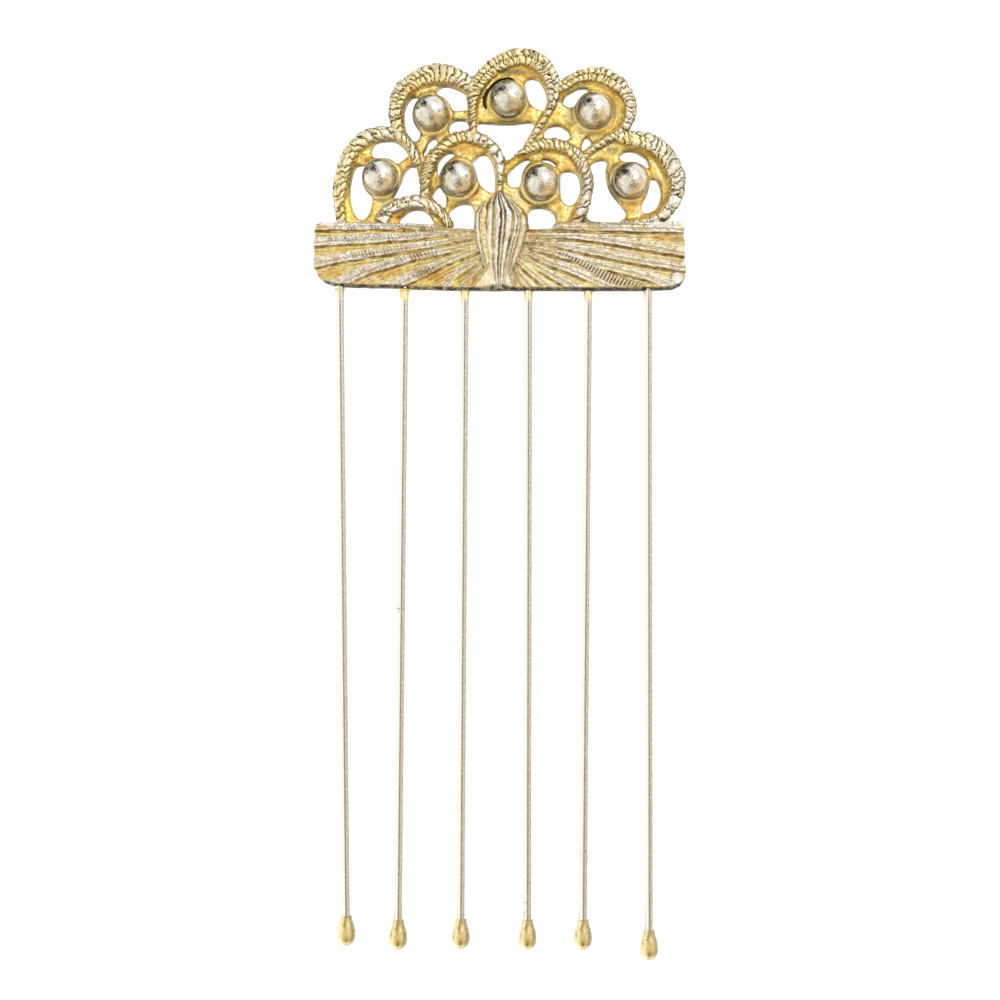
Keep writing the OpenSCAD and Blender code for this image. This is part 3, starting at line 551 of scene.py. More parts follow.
def make_web():
    """Flat web with its openings, the balls' seats with raised rims, and the crescent's groove."""
    under_bar = [[15, 5, 1], [-18, 5, 1]]
    crown = FAR_LEFT[:8] + UPPER_LEFT + TOP[3:11] + UPPER_RIGHT[:9] + FAR_RIGHT[1:10] + under_bar
    outline = polygon([(x, y) for x, y, _ in crown])
    for opening in OPENINGS:
        outline = upper(outline, -polygon(rounded(opening)), OPENING_FILLET)
    rim = np.zeros(GX.shape)
    contact_shadow = np.zeros(GX.shape)
    for x, y in BALLS:
        r = oval(x, y)
        outline = lower(outline, r - SEAT_R, SEAT_FILLET)
        rim = np.maximum(rim, np.exp(-(np.maximum(r - RIM_R, 0) / RIM_FADE) ** 2))
        # Painted shadow round each ball where it sits in its seat
        contact_shadow = np.maximum(contact_shadow, ramp(r + 0.12 * MEDIUM, RIM_R + 0.05, RIM_R - 0.2))
    cut = ramp(chain(CRESCENT), 0.06, -0.06)
    height = WEB_H + 0.1 * SLOW + 0.07 * MEDIUM + 0.06 * FINE + 0.02 * GRIT
    height = mix(mix(height, RIM_H, rim), CRESCENT_H, cut)
    mottle = 0.3 * SLOW + 0.3 * MEDIUM + 0.45 * FINE + 0.2 * GRIT
    flecks = 0.38 * ramp(GRIT + 0.7 * FINE, 0.45, 1)
    # Stains and flecks, and the painted shadow round the seats
    stains_and_contact_shadow = 0.04 + 0.12 * MEDIUM + flecks + contact_shadow * (0.75 + 0.4 * SLOW)
    # The crescent's groove is painted dark, as shade
    return Layer(outline, height, amber=mix(0.75, 0.5, rim) + mottle, beige=0.1, grime=stains_and_contact_shadow + 0.4 * cut,
                 deep_shade=0.55 * cut, across=GX, lengthwise=GY, grit=0.8)


def lobed(place, out, edges, seed):
    """Pebble-shaped lobes: height from 0 to 1, each lobe's own chance number, and the share across it."""
    i = np.clip(np.searchsorted(edges, place) - 1, 0, len(edges) - 2)
    across = np.abs(2 * (place - edges[i]) / (edges[i + 1] - edges[i]) - 1)
    chance = np.random.default_rng(seed).uniform(-1, 1, len(edges))[i]
    pebble = np.sqrt(np.clip(1 - across ** 4 - np.abs(2 * out - 1) ** 5, 0, 1))
    return pebble, chance, across


def lobe_edges(stations, length, seed):
    """Where the lobes meet along a band, some way past both of its ends too."""
    rng = np.random.default_rng(seed)
    past = 4
    unevenness = 0.5
    edges = [-past]
    while edges[-1] < length + past:
        pitch = column(stations, edges[-1] / length, 1)
        edges.append(edges[-1] + pitch * (1 + unevenness * rng.uniform(-1, 1)))
    return np.array(edges)


def make_band(rows, stations, seed):
    """A loop: lobes in one row or two along its outer side, and a plain flange along its inner side."""
    window, run, left, width, length = along(rows)
    slow, medium, fine, grit = (noise_map[window] for noise_map in (SLOW, MEDIUM, FINE, GRIT))
    edges = lobe_edges(stations, length, seed)
    pitch, slant, flange, silver, split = (column(stations, run / length, k) for k in (1, 2, 3, 4, 5))
    half = width / 2
    place = run + slant * left + 0.28 * pitch * (medium + fine)
    # out is 0 at the flange's edge and 1 at the band's outer side
    out = (left - flange + half) / (2 * half - flange)
    single = lobed(place, out, edges, seed + 1)
    inner_row = lobed(place, out / 0.55, edges, seed + 1)
    outer_row = lobed(place + pitch / 2, (out - 0.5) / 0.5, edges, seed + 2)
    pebble, chance, across = (
        np.where(split > 0.5, np.where(out > 0.52, far, near), one)
        for one, near, far in zip(single, inner_row, outer_row))
    notch = NOTCH * across ** 4 * (0.6 + 0.4 * chance)
    outline = upper(left - half + notch - 0.1 - 0.07 * chance, -left - half, 0.1)
    outline = np.maximum(outline, np.maximum(-run, run - length))
    roof = BAND_CREST - BAND_RISE * 0.35 * np.abs(left / half) ** 2 + 0.1 * chance
    lobes = np.maximum(roof - BAND_RISE * (1 - pebble), BAND_CREST - BAND_RISE - 0.25)
    plain = FLANGE_H + 0.25 * np.clip((left + half) / np.maximum(flange, 0.1), 0, 1) ** 2
    height = np.where(out > 0, lobes, plain) + 0.05 * fine + 0.03 * grit + 0.03 * medium
    # Creases between the lobes are darkened with painted shade and dirt
    crease = ramp(across, 0.84, 0.98) * (out > 0)
    warm = 0.45 * crease + 0.3 * ramp(out, 0.55, 0)
    amber = 0.08 + 0.75 * ramp(out, 0.06, -0.06) + warm * (1 - silver) + 0.2 * slow + 0.15 * chance
    depth = (0.6 + 0.35 * silver + 0.35 * chance) * mix(0.4, 1, ramp(out, 0.1, 0.6))
    depth += 0.45 * ramp(out, 0.75, 1)
    flecks = 0.45 * ramp(grit + 0.6 * fine, 0.45, 1) * (out > 0)
    outer_rim = 0.7 * ramp(out, 0.82, 1) * (0.6 + 0.5 * medium)
    return Layer(outline, height, window, beige=0.1, lines=0.3, across=place, lengthwise=left, grit=0.6,
                 amber=np.clip(amber, 0, 1), grime=np.clip(crease * depth + flecks + outer_rim, 0, 1),
                 silver=np.clip(silver + 0.3 * chance, 0, 1) * ramp(pebble, 0.3, 0.8))


def rib_lines(ribs):
    """For each x of the grid: y of each rib's crest, its slope's cosine, and the distance run along it."""
    least_apart, last_rib = 0.12, 1.6
    steepest = 4
    lines, cosines, runs = [], [], []
    for points, _, _ in ribs:
        px, py = np.array(points).T
        slopes = np.diff(py) / np.diff(px)
        y = np.interp(xs, px, py)
        y = np.where(xs < px[0], py[0] + (xs - px[0]) * slopes[0], y)
        y = np.where(xs > px[-1], py[-1] + (xs - px[-1]) * slopes[-1], y)
        if lines:
            y = np.minimum(y, lines[-1] - least_apart)
        stretch = np.sqrt(1 + np.clip(np.gradient(y, xs), -steepest, steepest) ** 2)
        lines.append(y)
        cosines.append(1 / stretch)
        runs.append(np.cumsum(stretch) * PITCH)
    lines.append(lines[-1] - last_rib)
    return ([line[:, None] for line in group] for group in (lines, cosines, runs))


def cut_flutes(maps, ribs, side):
    """Flutes below the ribs of the bar's left half, side -1, or right half, side 1, and the teeth."""
    def put(where, **values):
        for name, value in values.items():
            maps[name] = np.where(where, value, maps[name])

    here = GX * side > 0
    lines, cosines, runs = rib_lines(ribs)
    wander = 0.08 * MEDIUM + 0.05 * FINE
    narrowest, widest_crest, widest_slope = 0.08, 0.42, 0.24
    crest_shade_strength = 0.25 if side > 0 else 0.35
    for k, (_, teeth_from, teeth_to) in enumerate(ribs):
        gap = np.maximum((lines[k] - lines[k + 1]) * cosines[k], 0.1)
        below, above = (lines[k] - GY) * cosines[k], (GY - lines[k + 1]) * cosines[k]
        crest = np.clip(0.24 * gap, narrowest, widest_crest)
        slope = np.clip(0.3 * gap, narrowest, widest_slope)
        drop = ramp(below + wander * slope / widest_slope, crest, crest + slope)
        rise = np.clip((above - crest + wander) / np.maximum(gap - 2 * crest, 0.1), 0, 1) ** 0.8
        valley = drop * rise
        ridges = np.cos(FULL_TURN * below / RIDGE_PITCH + 1.6 * grain(2.6, 60 + k))
        rounding = 0.1 * np.clip(np.minimum(below, above) / crest, 0, 1) ** 2
        cut = np.maximum(np.minimum(FLUTE, 0.5 * gap) * valley, rounding)
        # Painted shade: a dark line at the foot of each crest's steep lower side, away from the light
        # above
        foot = (below - crest) / slope
        dark = ramp(foot, 0, 0.5) * ramp(foot, 2, 0.9) * (crest_shade_strength + 0.5 * grain(0.7, 40 + k))
        put(here & (below >= 0) & (above > 0), height=BAR_CREST - cut + 0.05 * ridges,
            across=below + 7 * k, lengthwise=runs[k], flute=ramp(valley, 0.1, 0.45),
            grime=dark + 0.15 * ramp(-ridges, 0.2, 0.9) * (0.6 + 0.4 * FINE))
        wave = waves(runs[k] + 0.5 * side * below, TOOTH_PITCH, 1.2 * MEDIUM)
        # Darker in the grooves between the teeth
        teeth_darkening = (0.35 + 0.4 * MEDIUM + 0.3 * FINE) * ramp(wave, 0.5, 0.9)
        put((GX > teeth_from) & (GX < teeth_to) & here & (below > -0.4) & (below < 0.5),
            height=maps["height"] - 0.15 * wave, grime=np.maximum(maps["grime"], teeth_darkening))
    put(here & (GY > lines[0]), height=BAR_CREST - 0.3 * ramp(GY - lines[0], 0.15, 0.6))


def make_bar():
    """Bar with two fans of ribs, a bold row of teeth, a bright corner, and painted shade along its lower
    edge.
    """
    outline = polygon(BAR) - 0.02 + 0.05 * MEDIUM
    maps = {name: np.zeros(GX.shape) for name in ("grime", "flute", "across", "lengthwise")}
    maps["height"] = np.full(GX.shape, BAR_CREST)
    cut_flutes(maps, LEFT_RIBS, -1)
    cut_flutes(maps, RIGHT_RIBS, 1)
    flute = maps["flute"]
    wave = waves(0.85 * GX - 0.5 * GY, BOLD_TOOTH_PITCH, 0.5 * MEDIUM)
    bold = ramp(chain(BOLD_TEETH), 0.05, -0.12)
    height = mix(maps["height"], BAR_CREST + 0.05 - 0.3 * wave ** 2, bold)
    grime = mix(maps["grime"], 0.65 * ramp(wave, 0.62, 0.97), bold)
    left_half = ramp(GX, 1, -1)
    near_leaf = ramp(np.abs(GX), 9, 4)
    patchy = mix(0.6, 0.85, left_half) + 0.4 * grain(0.6, 71) + 0.35 * grain(3, 72)
    silver = mix((1 - flute) * patchy * mix(1, 0.4, near_leaf), 1.2 * (1 - wave), bold) + 0.15 * MEDIUM
    lower_left = ramp(oval(-17, 2, 2.6), 1.5, 0.5)
    corner = ramp(oval(22, 1.4), 1, 0.6)
    grit = np.clip(1 - 0.55 * flute - 0.4 * near_leaf, 0, 1)
    # Painted shade along the bar's lower edge, which slopes down there, standing in for its wall in shade
    underside = ramp(outline, -0.36, -0.16) * ramp(GY, 1.4, 0.8)
    # Painted shadow of the leaf's tip on the bar's lower edge
    foot = ramp(oval(0.1, 0.35, 1.2, 0.35) + 0.3 * MEDIUM, 1.2, 0.7)
    height += 0.2 * corner + (0.065 * FINE + 0.045 * GRIT + 0.03 * MEDIUM) * grit - 0.5 * underside
    specks = 0.5 * ramp(GRIT + 0.5 * FINE, -0.5, -0.95) * grit + flute * mix(0.1, -0.05, left_half)
    return Layer(
        outline, height, lines=1, across=maps["across"], lengthwise=maps["lengthwise"], grit=grit,
        amber=np.clip(flute * mix(0.55, 0.65, left_half) + 0.3 * SLOW + 0.25 * FINE, 0, 1),
        silver=np.clip(np.maximum(silver + 0.3 * lower_left, corner), 0, 1),
        beige=(mix(0.7, 0.3, left_half) + 0.25 * SLOW) * (1 - 0.4 * flute),
        grime=np.clip(grime + specks + 0.12 * FINE, 0, 1),
        deep_shade=np.maximum(underside * (0.9 + 0.7 * FINE), foot))


def make_leaf(rows, section, top, depth, silver, beige, brown_from=2):
    """Leaf or sepal with its grooves. brown_from is the share of its width where it turns brown."""
    left, right, swell = (column(rows, GY, k) for k in (1, 2, 3))
    u = (GX - left) / (right - left)
    ends = [row[0] for row in rows]
    outline = np.maximum(np.maximum(left - GX, GX - right), np.maximum(min(ends) - GY, GY - max(ends)))
    groove = column(section, u + 0.02 * MEDIUM, 1)
    base = BAR_CREST - 0.25
    crown = (top - base) * swell * (1 - 0.55 * (2 * u - 1) ** 2)
    rough = ramp(u, 0.2, 0.4) * ramp(GY, 4, 6) * ramp(GY, 11.5, 9.5)
    height = base + crown - depth * groove * np.clip(swell + 0.35, 0, 1)
    height += 0.09 * FINE * rough + 0.045 * FINE + 0.03 * GRIT
    # The grooves are darkened with painted shade and dirt
    crease = ramp(groove, 0.35, 0.85)
    flecks = 0.25 * ramp(GRIT + 0.6 * FINE, 0.3, 1)
    return Layer(
        outline, height, beige=beige, lines=0.8, across=u * (right - left), lengthwise=GY, grit=0.6,
        amber=0.3 * crease + 0.1 + 0.3 * ramp(u, brown_from, brown_from + 0.2),
        silver=silver * ramp(groove, 0.9, 0.5) * ramp(u, brown_from + 0.1, brown_from - 0.1),
        grime=crease * (0.65 + 0.5 * MEDIUM + 0.3 * FINE) + flecks)


layers = [make_web()]
layers += [make_band(rows, stations, 100 + 10 * k) for k, (rows, stations) in enumerate(BANDS)]
layers += [
    make_bar(),
    make_leaf(LEFT_SEPAL, SEPAL_SECTION, SEPAL_TOP, depth=0.35, silver=0.6, beige=0.6, brown_from=0.4),
    make_leaf(RIGHT_SEPAL, SEPAL_SECTION, SEPAL_TOP, depth=0.4, silver=0.35, beige=0.6),
    make_leaf(LEAF, LEAF_SECTION, LEAF_TOP, depth=0.5, silver=1, beige=0),
]

# One field from all the parts, negative inside the metal


def solid(outline, height, rim):
    """Field of one part, its upper rim rounded."""
    side, cover = outline[..., None], zs - height[..., None]
    return upper(side, cover, rim)


WEB_RIM = 0.6
PART_RIM = 0.22
BAND_FILLET = 0.22
BAR_FILLET = 0.12

field = solid(layers[0].outline, layers[0].height, WEB_RIM)
for k, layer in enumerate(layers[1:]):
    rows, cols = (np.where(layer.outline.min(axis) < 2)[0] for axis in (1, 0))
    window = (slice(rows[0], rows[-1]), slice(cols[0], cols[-1]))
    part = solid(layer.outline[window], layer.height[window], PART_RIM)
    field[window] = lower(field[window], part, BAND_FILLET if k < len(BANDS) else BAR_FILLET)

# Dishes for the balls, sockets for the wires with a collar of solder at their mouths, and the flat back
for x, y in BALLS:
    reach = BALL_R + 0.1
    window = grid_window((x - reach, y - reach), (x + reach, y + reach))
    r = np.sqrt((GX[window][..., None] - x) ** 2 + (GY[window][..., None] - y) ** 2 + (zs - BALL_Z) ** 2)
    field[window] = np.maximum(field[window], BALL_R + BALL_GAP - r)
for (x0, x1, end), size in zip(TINES, COLLARS):
    reach = 1.6
    window = grid_window((x0 - reach, Y0), (x0 + reach, SOCKET + 0.5))
    gx, gy = GX[window][..., None], GY[window][..., None]
    r = np.hypot(gx - x0 - (x1 - x0) * gy / end, zs - TINE_Z)
    collar = np.sqrt((r / (0.68 + 0.06 * size)) ** 2 + ((gy - 0.1) / (0.3 + 0.35 * size)) ** 2) - 1
    bore = np.maximum(r - TINE_R - SOCKET_GAP, gy - SOCKET)
    field[window] = np.maximum(lower(field[window], 0.6 * collar, 0.2), -bore)
field = np.maximum(field, -zs)

# Looks over the head

top = np.zeros(GX.shape, np.float32)
looks = {name: np.zeros(GX.shape, np.float32) for name in LOOKS}
looks["amber"] += 0.8
for layer in layers:
    cover = ramp(layer.outline, 0.12, -0.02) * ramp(layer.height - top, -0.12, 0.04)
    for name in LOOKS:
        looks[name] = mix(looks[name], layer.looks[name], cover)
    top = np.where(layer.outline < 0, np.maximum(top, layer.height), top)
# Painted shade and dirt: darker where the top lies below its blurred surroundings
hollow = blur(top, 0.28) - top
looks["grime"] = np.clip(looks["grime"] + 0.5 * ramp(hollow, 0.16, 0.5) * (top > 0.4), 0, 1)
for x, y, half_x, half_y, darker in PAINTED_SHADE_PATCHES:
    spot = ramp(oval(x, y, half_x, half_y) + 0.2 * MEDIUM, 1.3, 0.5)
    if darker > 0:
        looks["grime"] += darker * spot
    else:
        # A lighter patch takes away dirt, painted shade and some amber
        looks["grime"] *= 1 + darker * spot
        looks["amber"] *= 1 + 0.5 * darker * spot
for name in ("amber", "silver", "beige", "grime"):
    looks[name] = np.clip(looks[name], 0, 1)
brown = np.zeros(GX.shape, np.float32)
for x, y, half_x, half_y, strength in LACQUER:
    spot = ramp(oval(x, y, half_x, half_y) + 0.25 * MEDIUM, 1.3, 0.5)
    brown = np.maximum(brown, strength * spot)
mottle = ramp(0.7 * MEDIUM + 0.6 * FINE, 0.1, 0.9) * mix(0.3, 0.45, ramp(GX, 1, -1))
on_bar = ramp(looks["lines"], 0.85, 0.95)
looks["brown"] = np.maximum(brown * (1 - 0.6 * looks["silver"]), mottle * on_bar)

# Meshes


def points_of(obj):
    """The mesh's points in mm."""
    points = np.zeros(len(obj.data.vertices) * 3, np.float32)
    obj.data.vertices.foreach_get("co", points)
    return points.reshape(-1, 3) / MM


def move_points(obj, points):
    obj.data.vertices.foreach_set("co", (points * MM).astype(np.float32).ravel())
    obj.data.update()


def new_object(name, points, faces):
    """A mesh object from points in mm and the faces' corners."""
    mesh = bpy.data.meshes.new(name)
    mesh.from_pydata(points * MM, [], faces)
    mesh.validate()
    made = bpy.data.objects.new(name, mesh)
    scene.collection.objects.link(made)
    return made


def simplify(obj, triangles):
    """Turns four-sided faces into this many triangles, fewer where the surface is flat."""
    fewer = obj.modifiers.new("fewer", "DECIMATE")
    fewer.ratio = triangles / (2 * len(obj.data.polygons))
    done = bpy.data.meshes.new_from_object(obj.evaluated_get(bpy.context.evaluated_depsgraph_get()))
    obj.modifiers.clear()
    obj.data = done


def store(obj, name, values):
    """A number for each point of a mesh, for its material to read."""
    attribute = obj.data.attributes.new(name, "FLOAT", "POINT")
    attribute.data.foreach_set("value", np.asarray(values, np.float32))


def make_head():
    """The surface of the field, with the head's looks stored on its points."""
    grid = openvdb.FloatGrid(1.0)
    grid.copyFromArray(np.ascontiguousarray(field, dtype=np.float32))
    points, _, quads = grid.convertToPolygons(0.0, 0.0)
    made = new_object("cast_head", np.array(points) * PITCH + [X0, Y0 + EDGE_Y, Z0], quads)
    simplify(made, HEAD_TRIANGLES)
    made.data.shade_smooth()
    made.data.set_sharp_from_angle(angle=math.radians(55))

    # The cast surface stays inside the solid's own box
    inside = 0.01
    points = points_of(made)
    points[:, 0] = np.clip(points[:, 0], head_low.x / MM + inside, head_high.x / MM - inside)
    points[:, 1] = np.minimum(points[:, 1], head_high.y / MM - inside)
    points[:, 2] = np.maximum(points[:, 2], 0)
    move_points(made, points)
    u = np.clip((points[:, 0] - X0) / PITCH, 0, len(xs) - 1.01)
    v = np.clip((points[:, 1] - EDGE_Y - Y0) / PITCH, 0, len(ys) - 1.01)
    i, j = u.astype(int), v.astype(int)
    for name, look in looks.items():
        store(made, name, sample(look, i, j, u - i, v - j))
    return made


def lathe(name, rings):
    """A closed surface through rings of points, with a point at each end."""
    rings = np.array(rings)
    around = rings.shape[1]
    body = rings.reshape(-1, 3)
    points = np.vstack([body, rings[0].mean(0), rings[-1].mean(0)])
    here = np.arange(around)
    after = (here + 1) % around
    faces = []
    for p in range(0, len(body) - around, around):
        q = p + around
        faces.append(np.stack([p + here, p + after, q + after], 1))
        faces.append(np.stack([p + here, q + after, q + here], 1))
    faces.append(np.stack([after, here, np.full(around, len(body))], 1))
    faces.append(np.stack([q + here, q + after, np.full(around, len(body) + 1)], 1))
    made = new_object(name, points, np.vstack(faces))
    made.data.shade_smooth()
    return made


def wobble(t, seed, rates):
    """A smooth wandering number from -1 to 1."""
    phases = np.random.default_rng(seed).uniform(0, FULL_TURN, len(rates))
    return sum(np.sin(t * rate + phase) for rate, phase in zip(rates, phases)) / len(rates)


def tine_length(tine):
    x0, x1, end = tine
    return math.hypot(x1 - x0, end)


def on_tine(name, tine, turn, rings, marks):
    """A round piece on a tine's axis.

    turn holds the angles of a ring's points. rings has each ring's distance from the bar and its radius.
    """
    x0, x1, end = tine
    axis = np.array([x1 - x0, end, 0]) / tine_length(tine)
    side = np.array([-axis[1], axis[0], 0])
    start = np.array([x0, EDGE_Y, TINE_Z])
    made = lathe(name, [
        start + reach * axis
        + np.outer(np.cos(turn) * radius, side) + np.outer(np.sin(turn) * radius, [0, 0, 1])
        for reach, radius in rings])
    for mark, values in marks.items():
        store(made, mark, np.append(values, [0, 0]))
    return made


def make_wire(tine, k):
    turn = np.linspace(0, FULL_TURN, 32, endpoint=False)
    reaches = np.linspace(END_GAP - SOCKET, tine_length(tine) - TIP_LEN + TIP_BORE - END_GAP, 220)
    rings = [
        (reach, TINE_R - 0.008 + 0.007 * wobble(reach, 500 + k, (0.5, 1.3, 3.1))
         - 0.004 * np.cos(2 * turn + 0.2 * reach))
        for reach in reaches]
    across, down = np.tile(np.cos(turn), len(reaches)), np.repeat(reaches, len(turn))
    # Painted shade across the wire: greyer over its right side, most in a band, lighter at the right edge,
    # darker at the left edge
    painted_wire_shade = 0.5 * ramp(across, 0.12, 0.3) + 0.5 * ramp(np.abs(across - 0.6), 0.24, 0.1)
    rough = 0 * down
    for wire, at, size in SPECKS:
        if wire == k:
            rough += ramp(np.abs(down - at), 1.4 * size, 0.4 * size)
    return on_tine(f"wire_{k}", tine, turn, rings, {
        "painted_wire_shade": np.maximum(painted_wire_shade * ramp(across, 0.92, 0.76), 0.4 * ramp(-across, 0.8, 1)),
        # A painted dark reflection in a line along the wire's top
        "line": ramp(np.abs(across - 0.04), 0.24, 0.1),
        "solder": COLLARS[k - 1] * ramp(down, 1.6, 0.9),
        "rough": rough,
    })


def make_tip(tine, k):
    turn = np.linspace(0, FULL_TURN, 48, endpoint=False)
    length = tine_length(tine)
    mouth = length - TIP_LEN
    bore = TINE_R + TIP_GAP
    rings = []
    for share, radius in on_curve(DROP[1:], np.linspace(0, len(DROP) - 2, 44)):
        reach = length - TIP_LEN * share
        uneven = 1 - 0.012 + 0.012 * wobble(turn + reach, 600 + k, (1, 2, 3))
        rings.append((reach, TIP_R * radius * uneven))
    rings += [(mouth, bore + 0.04), (mouth + 0.06, bore), (mouth + TIP_BORE, bore)]
    across = np.tile(np.cos(turn), len(rings))
    down = np.repeat([(length - reach) / TIP_LEN for reach, _ in rings], len(turn))
    # Painted light and shade across the drop: dark at its edges and point, a painted highlight on its left
    # side, and a darker core over the key light's reflection, browner towards the mouth
    edge = np.maximum(ramp(across, 0.42, 0.66), 0.3 * ramp(-across, 0.75, 0.95))
    core = ramp(np.abs(across + 0.05 - 0.13 * ramp(down, 0.4, 0.6)), 0.44, 0.2) * ramp(down, 0.1, 0.25)
    return on_tine(f"drop_{k}", tine, turn, rings, {
        "dark": np.maximum(edge, 0.5 * ramp(down, 0.14, 0.04)),
        "core": core,
        "pale": ramp(-across, 0.18, 0.4),
        "brown": core * ramp(down, 0.5, 0.85),
    })


def make_ball(x, y, k):
    bpy.ops.mesh.primitive_ico_sphere_add(subdivisions=6, radius=MM)
    made = bpy.context.object
    made.name = f"polished_ball_{k}"
    points = points_of(made)
    px, py, pz = points.T
    rng = np.random.default_rng(700 + k)
    dent_count = 60
    dents = np.zeros(len(points))
    for centre in rng.normal(size=(dent_count, 3)):
        centre /= np.linalg.norm(centre)
        width = rng.uniform(0.1, 0.28)
        dents += rng.uniform(0.2, 1) * np.exp(-((points - centre) ** 2).sum(1) / width ** 2)
    ragged = 0.12 * wobble(np.arctan2(py, px) + 3 * pz, 720 + k, (5, 9, 14))
    # Painted reflections: dark and dull patches of the studio, and the warm gilt seat round the lower
    # right
    for name, marks in (("dark", BALL_DARK_REFLECTIONS), ("warm", BALL_WARM_REFLECTIONS), ("dim_reflection", BALL_DIM_REFLECTIONS)):
        shift_x, shift_y = rng.uniform(-0.06, 0.06, 2)
        spread = np.max([
            ramp(np.hypot((px - mx - shift_x) / half_x, (py - my - shift_y) / half_y) + ragged, 1.15, 0.65)
            for mx, my, half_x, half_y in marks], axis=0)
        if name == "dark":
            # A painted dark ring of shade near the ball's outline
            ring = 0.6 * ramp(np.hypot(px, py), 0.87, 0.98)
            spread = np.maximum(spread * ramp(pz, 0.2, 0.45), ring)
        store(made, name, spread)
    radius = BALL_R * (1 - 0.004 * dents / dents.max())
    move_points(made, points * radius[:, None] + [x, y + EDGE_Y, BALL_Z])
    made.data.shade_smooth()
    return made


head = make_head()
balls = [make_ball(x, y, k) for k, (x, y) in enumerate(BALLS, 1)]
wires = [make_wire(tine, k) for k, tine in enumerate(TINES, 1)]
tips = [make_tip(tine, k) for k, tine in enumerate(TINES, 1)]

# Shader nodes


def node(tree, kind, inputs=None, **settings):
    """A shader node with its settings, and with values or links on its inputs."""
    made = tree.nodes.new(kind)
    for key, value in settings.items():
        setattr(made, key, value)
    for socket, value in (inputs or {}).items():
        if isinstance(value, bpy.types.NodeSocket):
            tree.links.new(value, made.inputs[socket])
        else:
            made.inputs[socket].default_value = value
    return made


def blend(tree, share, a, b):
    """Colour that goes from a to b with the share."""
    return node(tree, "ShaderNodeMix", {0: share, 6: a, 7: b}, data_type="RGBA").outputs[2]


def add(tree, a, b):
    return node(tree, "ShaderNodeMath", {0: a, 1: b}, operation="ADD", use_clamp=True).outputs[0]


def times(tree, a, b):
    return node(tree, "ShaderNodeMath", {0: a, 1: b}, operation="MULTIPLY", use_clamp=True).outputs[0]


def vector(tree, operation, *inputs):
    made = node(tree, "ShaderNodeVectorMath", dict(enumerate(inputs)), operation=operation)
    return made.outputs["Value" if operation in ("DOT_PRODUCT", "LENGTH") else "Vector"]


def scaled(tree, value, low_in, high_in, low_out, high_out):
    return node(tree, "ShaderNodeMapRange", {
        "Value": value, "From Min": low_in, "From Max": high_in, "To Min": low_out, "To Max": high_out,
    }).outputs[0]


def noise(tree, where, scale, detail=3):
    inputs = {"Vector": where, "Scale": scale, "Detail": detail}
    return node(tree, "ShaderNodeTexNoise", inputs).outputs[0]


def bump(tree, height, distance, **inputs):
    """Surface direction over bumps of a height in mm."""
    return node(tree, "ShaderNodeBump", {"Height": height, "Distance": distance * MM, **inputs}).outputs[0]


def place_in(tree):
    return node(tree, "ShaderNodeTexCoord").outputs["Object"]


def value_of(tree, name):
    """A number that is stored on the mesh's points."""
    return node(tree, "ShaderNodeAttribute", attribute_name=name).outputs["Fac"]


def lined(tree):
    """Fine uneven lines that run along the ribs, the lobes and the leaf."""
    across, lengthwise = value_of(tree, "across"), value_of(tree, "lengthwise")
    flow = node(tree, "ShaderNodeCombineXYZ", {0: across, 1: lengthwise}).outputs[0]
    return noise(tree, vector(tree, "MULTIPLY", flow, (5.5, 0.9, 1)), 1)


# Materials


def metal(name, colour_of, roughness, slow, fine, lines=0, grit=False):
    """A metal whose colour is made by colour_of, with uneven polish and a grain in two sizes.

    slow and fine each give the noise's scale and how high it stands, in mm. lines is the height of the
    fine lines, and grit says that the mesh tells how strong the fine grain is.
    """
    made = bpy.data.materials.new(name)
    made.use_nodes = True
    tree = made.node_tree
    tree.nodes.clear()
    where = place_in(tree)
    colour, dull = colour_of(tree, where)
    rough = scaled(tree, noise(tree, where, 900), 0.3, 0.7, *roughness)
    rough = add(tree, rough, times(tree, dull, 0.3))
    relief = bump(tree, noise(tree, where, slow[0], 2), slow[1])
    strength = value_of(tree, "grit") if grit else 1
    relief = bump(tree, noise(tree, where, fine[0]), fine[1], Normal=relief, Strength=strength)
    if lines:
        relief = bump(tree, times(tree, lined(tree), value_of(tree, "lines")), lines, Normal=relief)
    shader = node(tree, "ShaderNodeBsdfPrincipled", {
        "Base Color": colour, "Roughness": rough, "Normal": relief,
        "Metallic": scaled(tree, dull, 0, 1, 1, 0.35)})
    node(tree, "ShaderNodeOutputMaterial", {0: shader.outputs[0]})
    return made


def gilt(tree, where):
    """Gold that goes to amber, beige, silver and brown where the head's maps say so, and dark with dirt
    and painted shade.
    """
    shift = scaled(tree, noise(tree, where, 1500), 0.35, 0.65, -0.12, 0.12)
    colour = GOLD
    for name, paint in (("amber", AMBER), ("beige", BEIGE), ("silver", SILVER), ("brown", BROWN)):
        colour = blend(tree, add(tree, value_of(tree, name), shift), colour, paint)
    facing = node(tree, "ShaderNodeNewGeometry").outputs["Normal"]
    up = node(tree, "ShaderNodeSeparateXYZ", {0: facing}).outputs[2]
    # Painted shade on steep walls and on faces turned towards -y, away from the key light
    under = vector(tree, "DOT_PRODUCT", facing, (0.1, -0.9, 0.42))
    wall_shade = add(tree, scaled(tree, up, 0.4, 0.05, 0, 0.7), scaled(tree, under, 0.86, 0.99, 0, 0.6))
    on_lines = value_of(tree, "lines")
    dark_lines = times(tree, scaled(tree, lined(tree), 0.44, 0.34, 0, 0.35), on_lines)
    speckle = times(tree, scaled(tree, noise(tree, where, 4200, 1), 0.38, 0.28, 0, 0.4), on_lines)
    grime = add(tree, add(tree, value_of(tree, "grime"), wall_shade), add(tree, dark_lines, speckle))
    deep_shade = value_of(tree, "deep_shade")
    return blend(tree, deep_shade, blend(tree, grime, colour, SHADE_AND_DIRT), DEEP_SHADE_OLIVE), add(tree, grime, deep_shade)


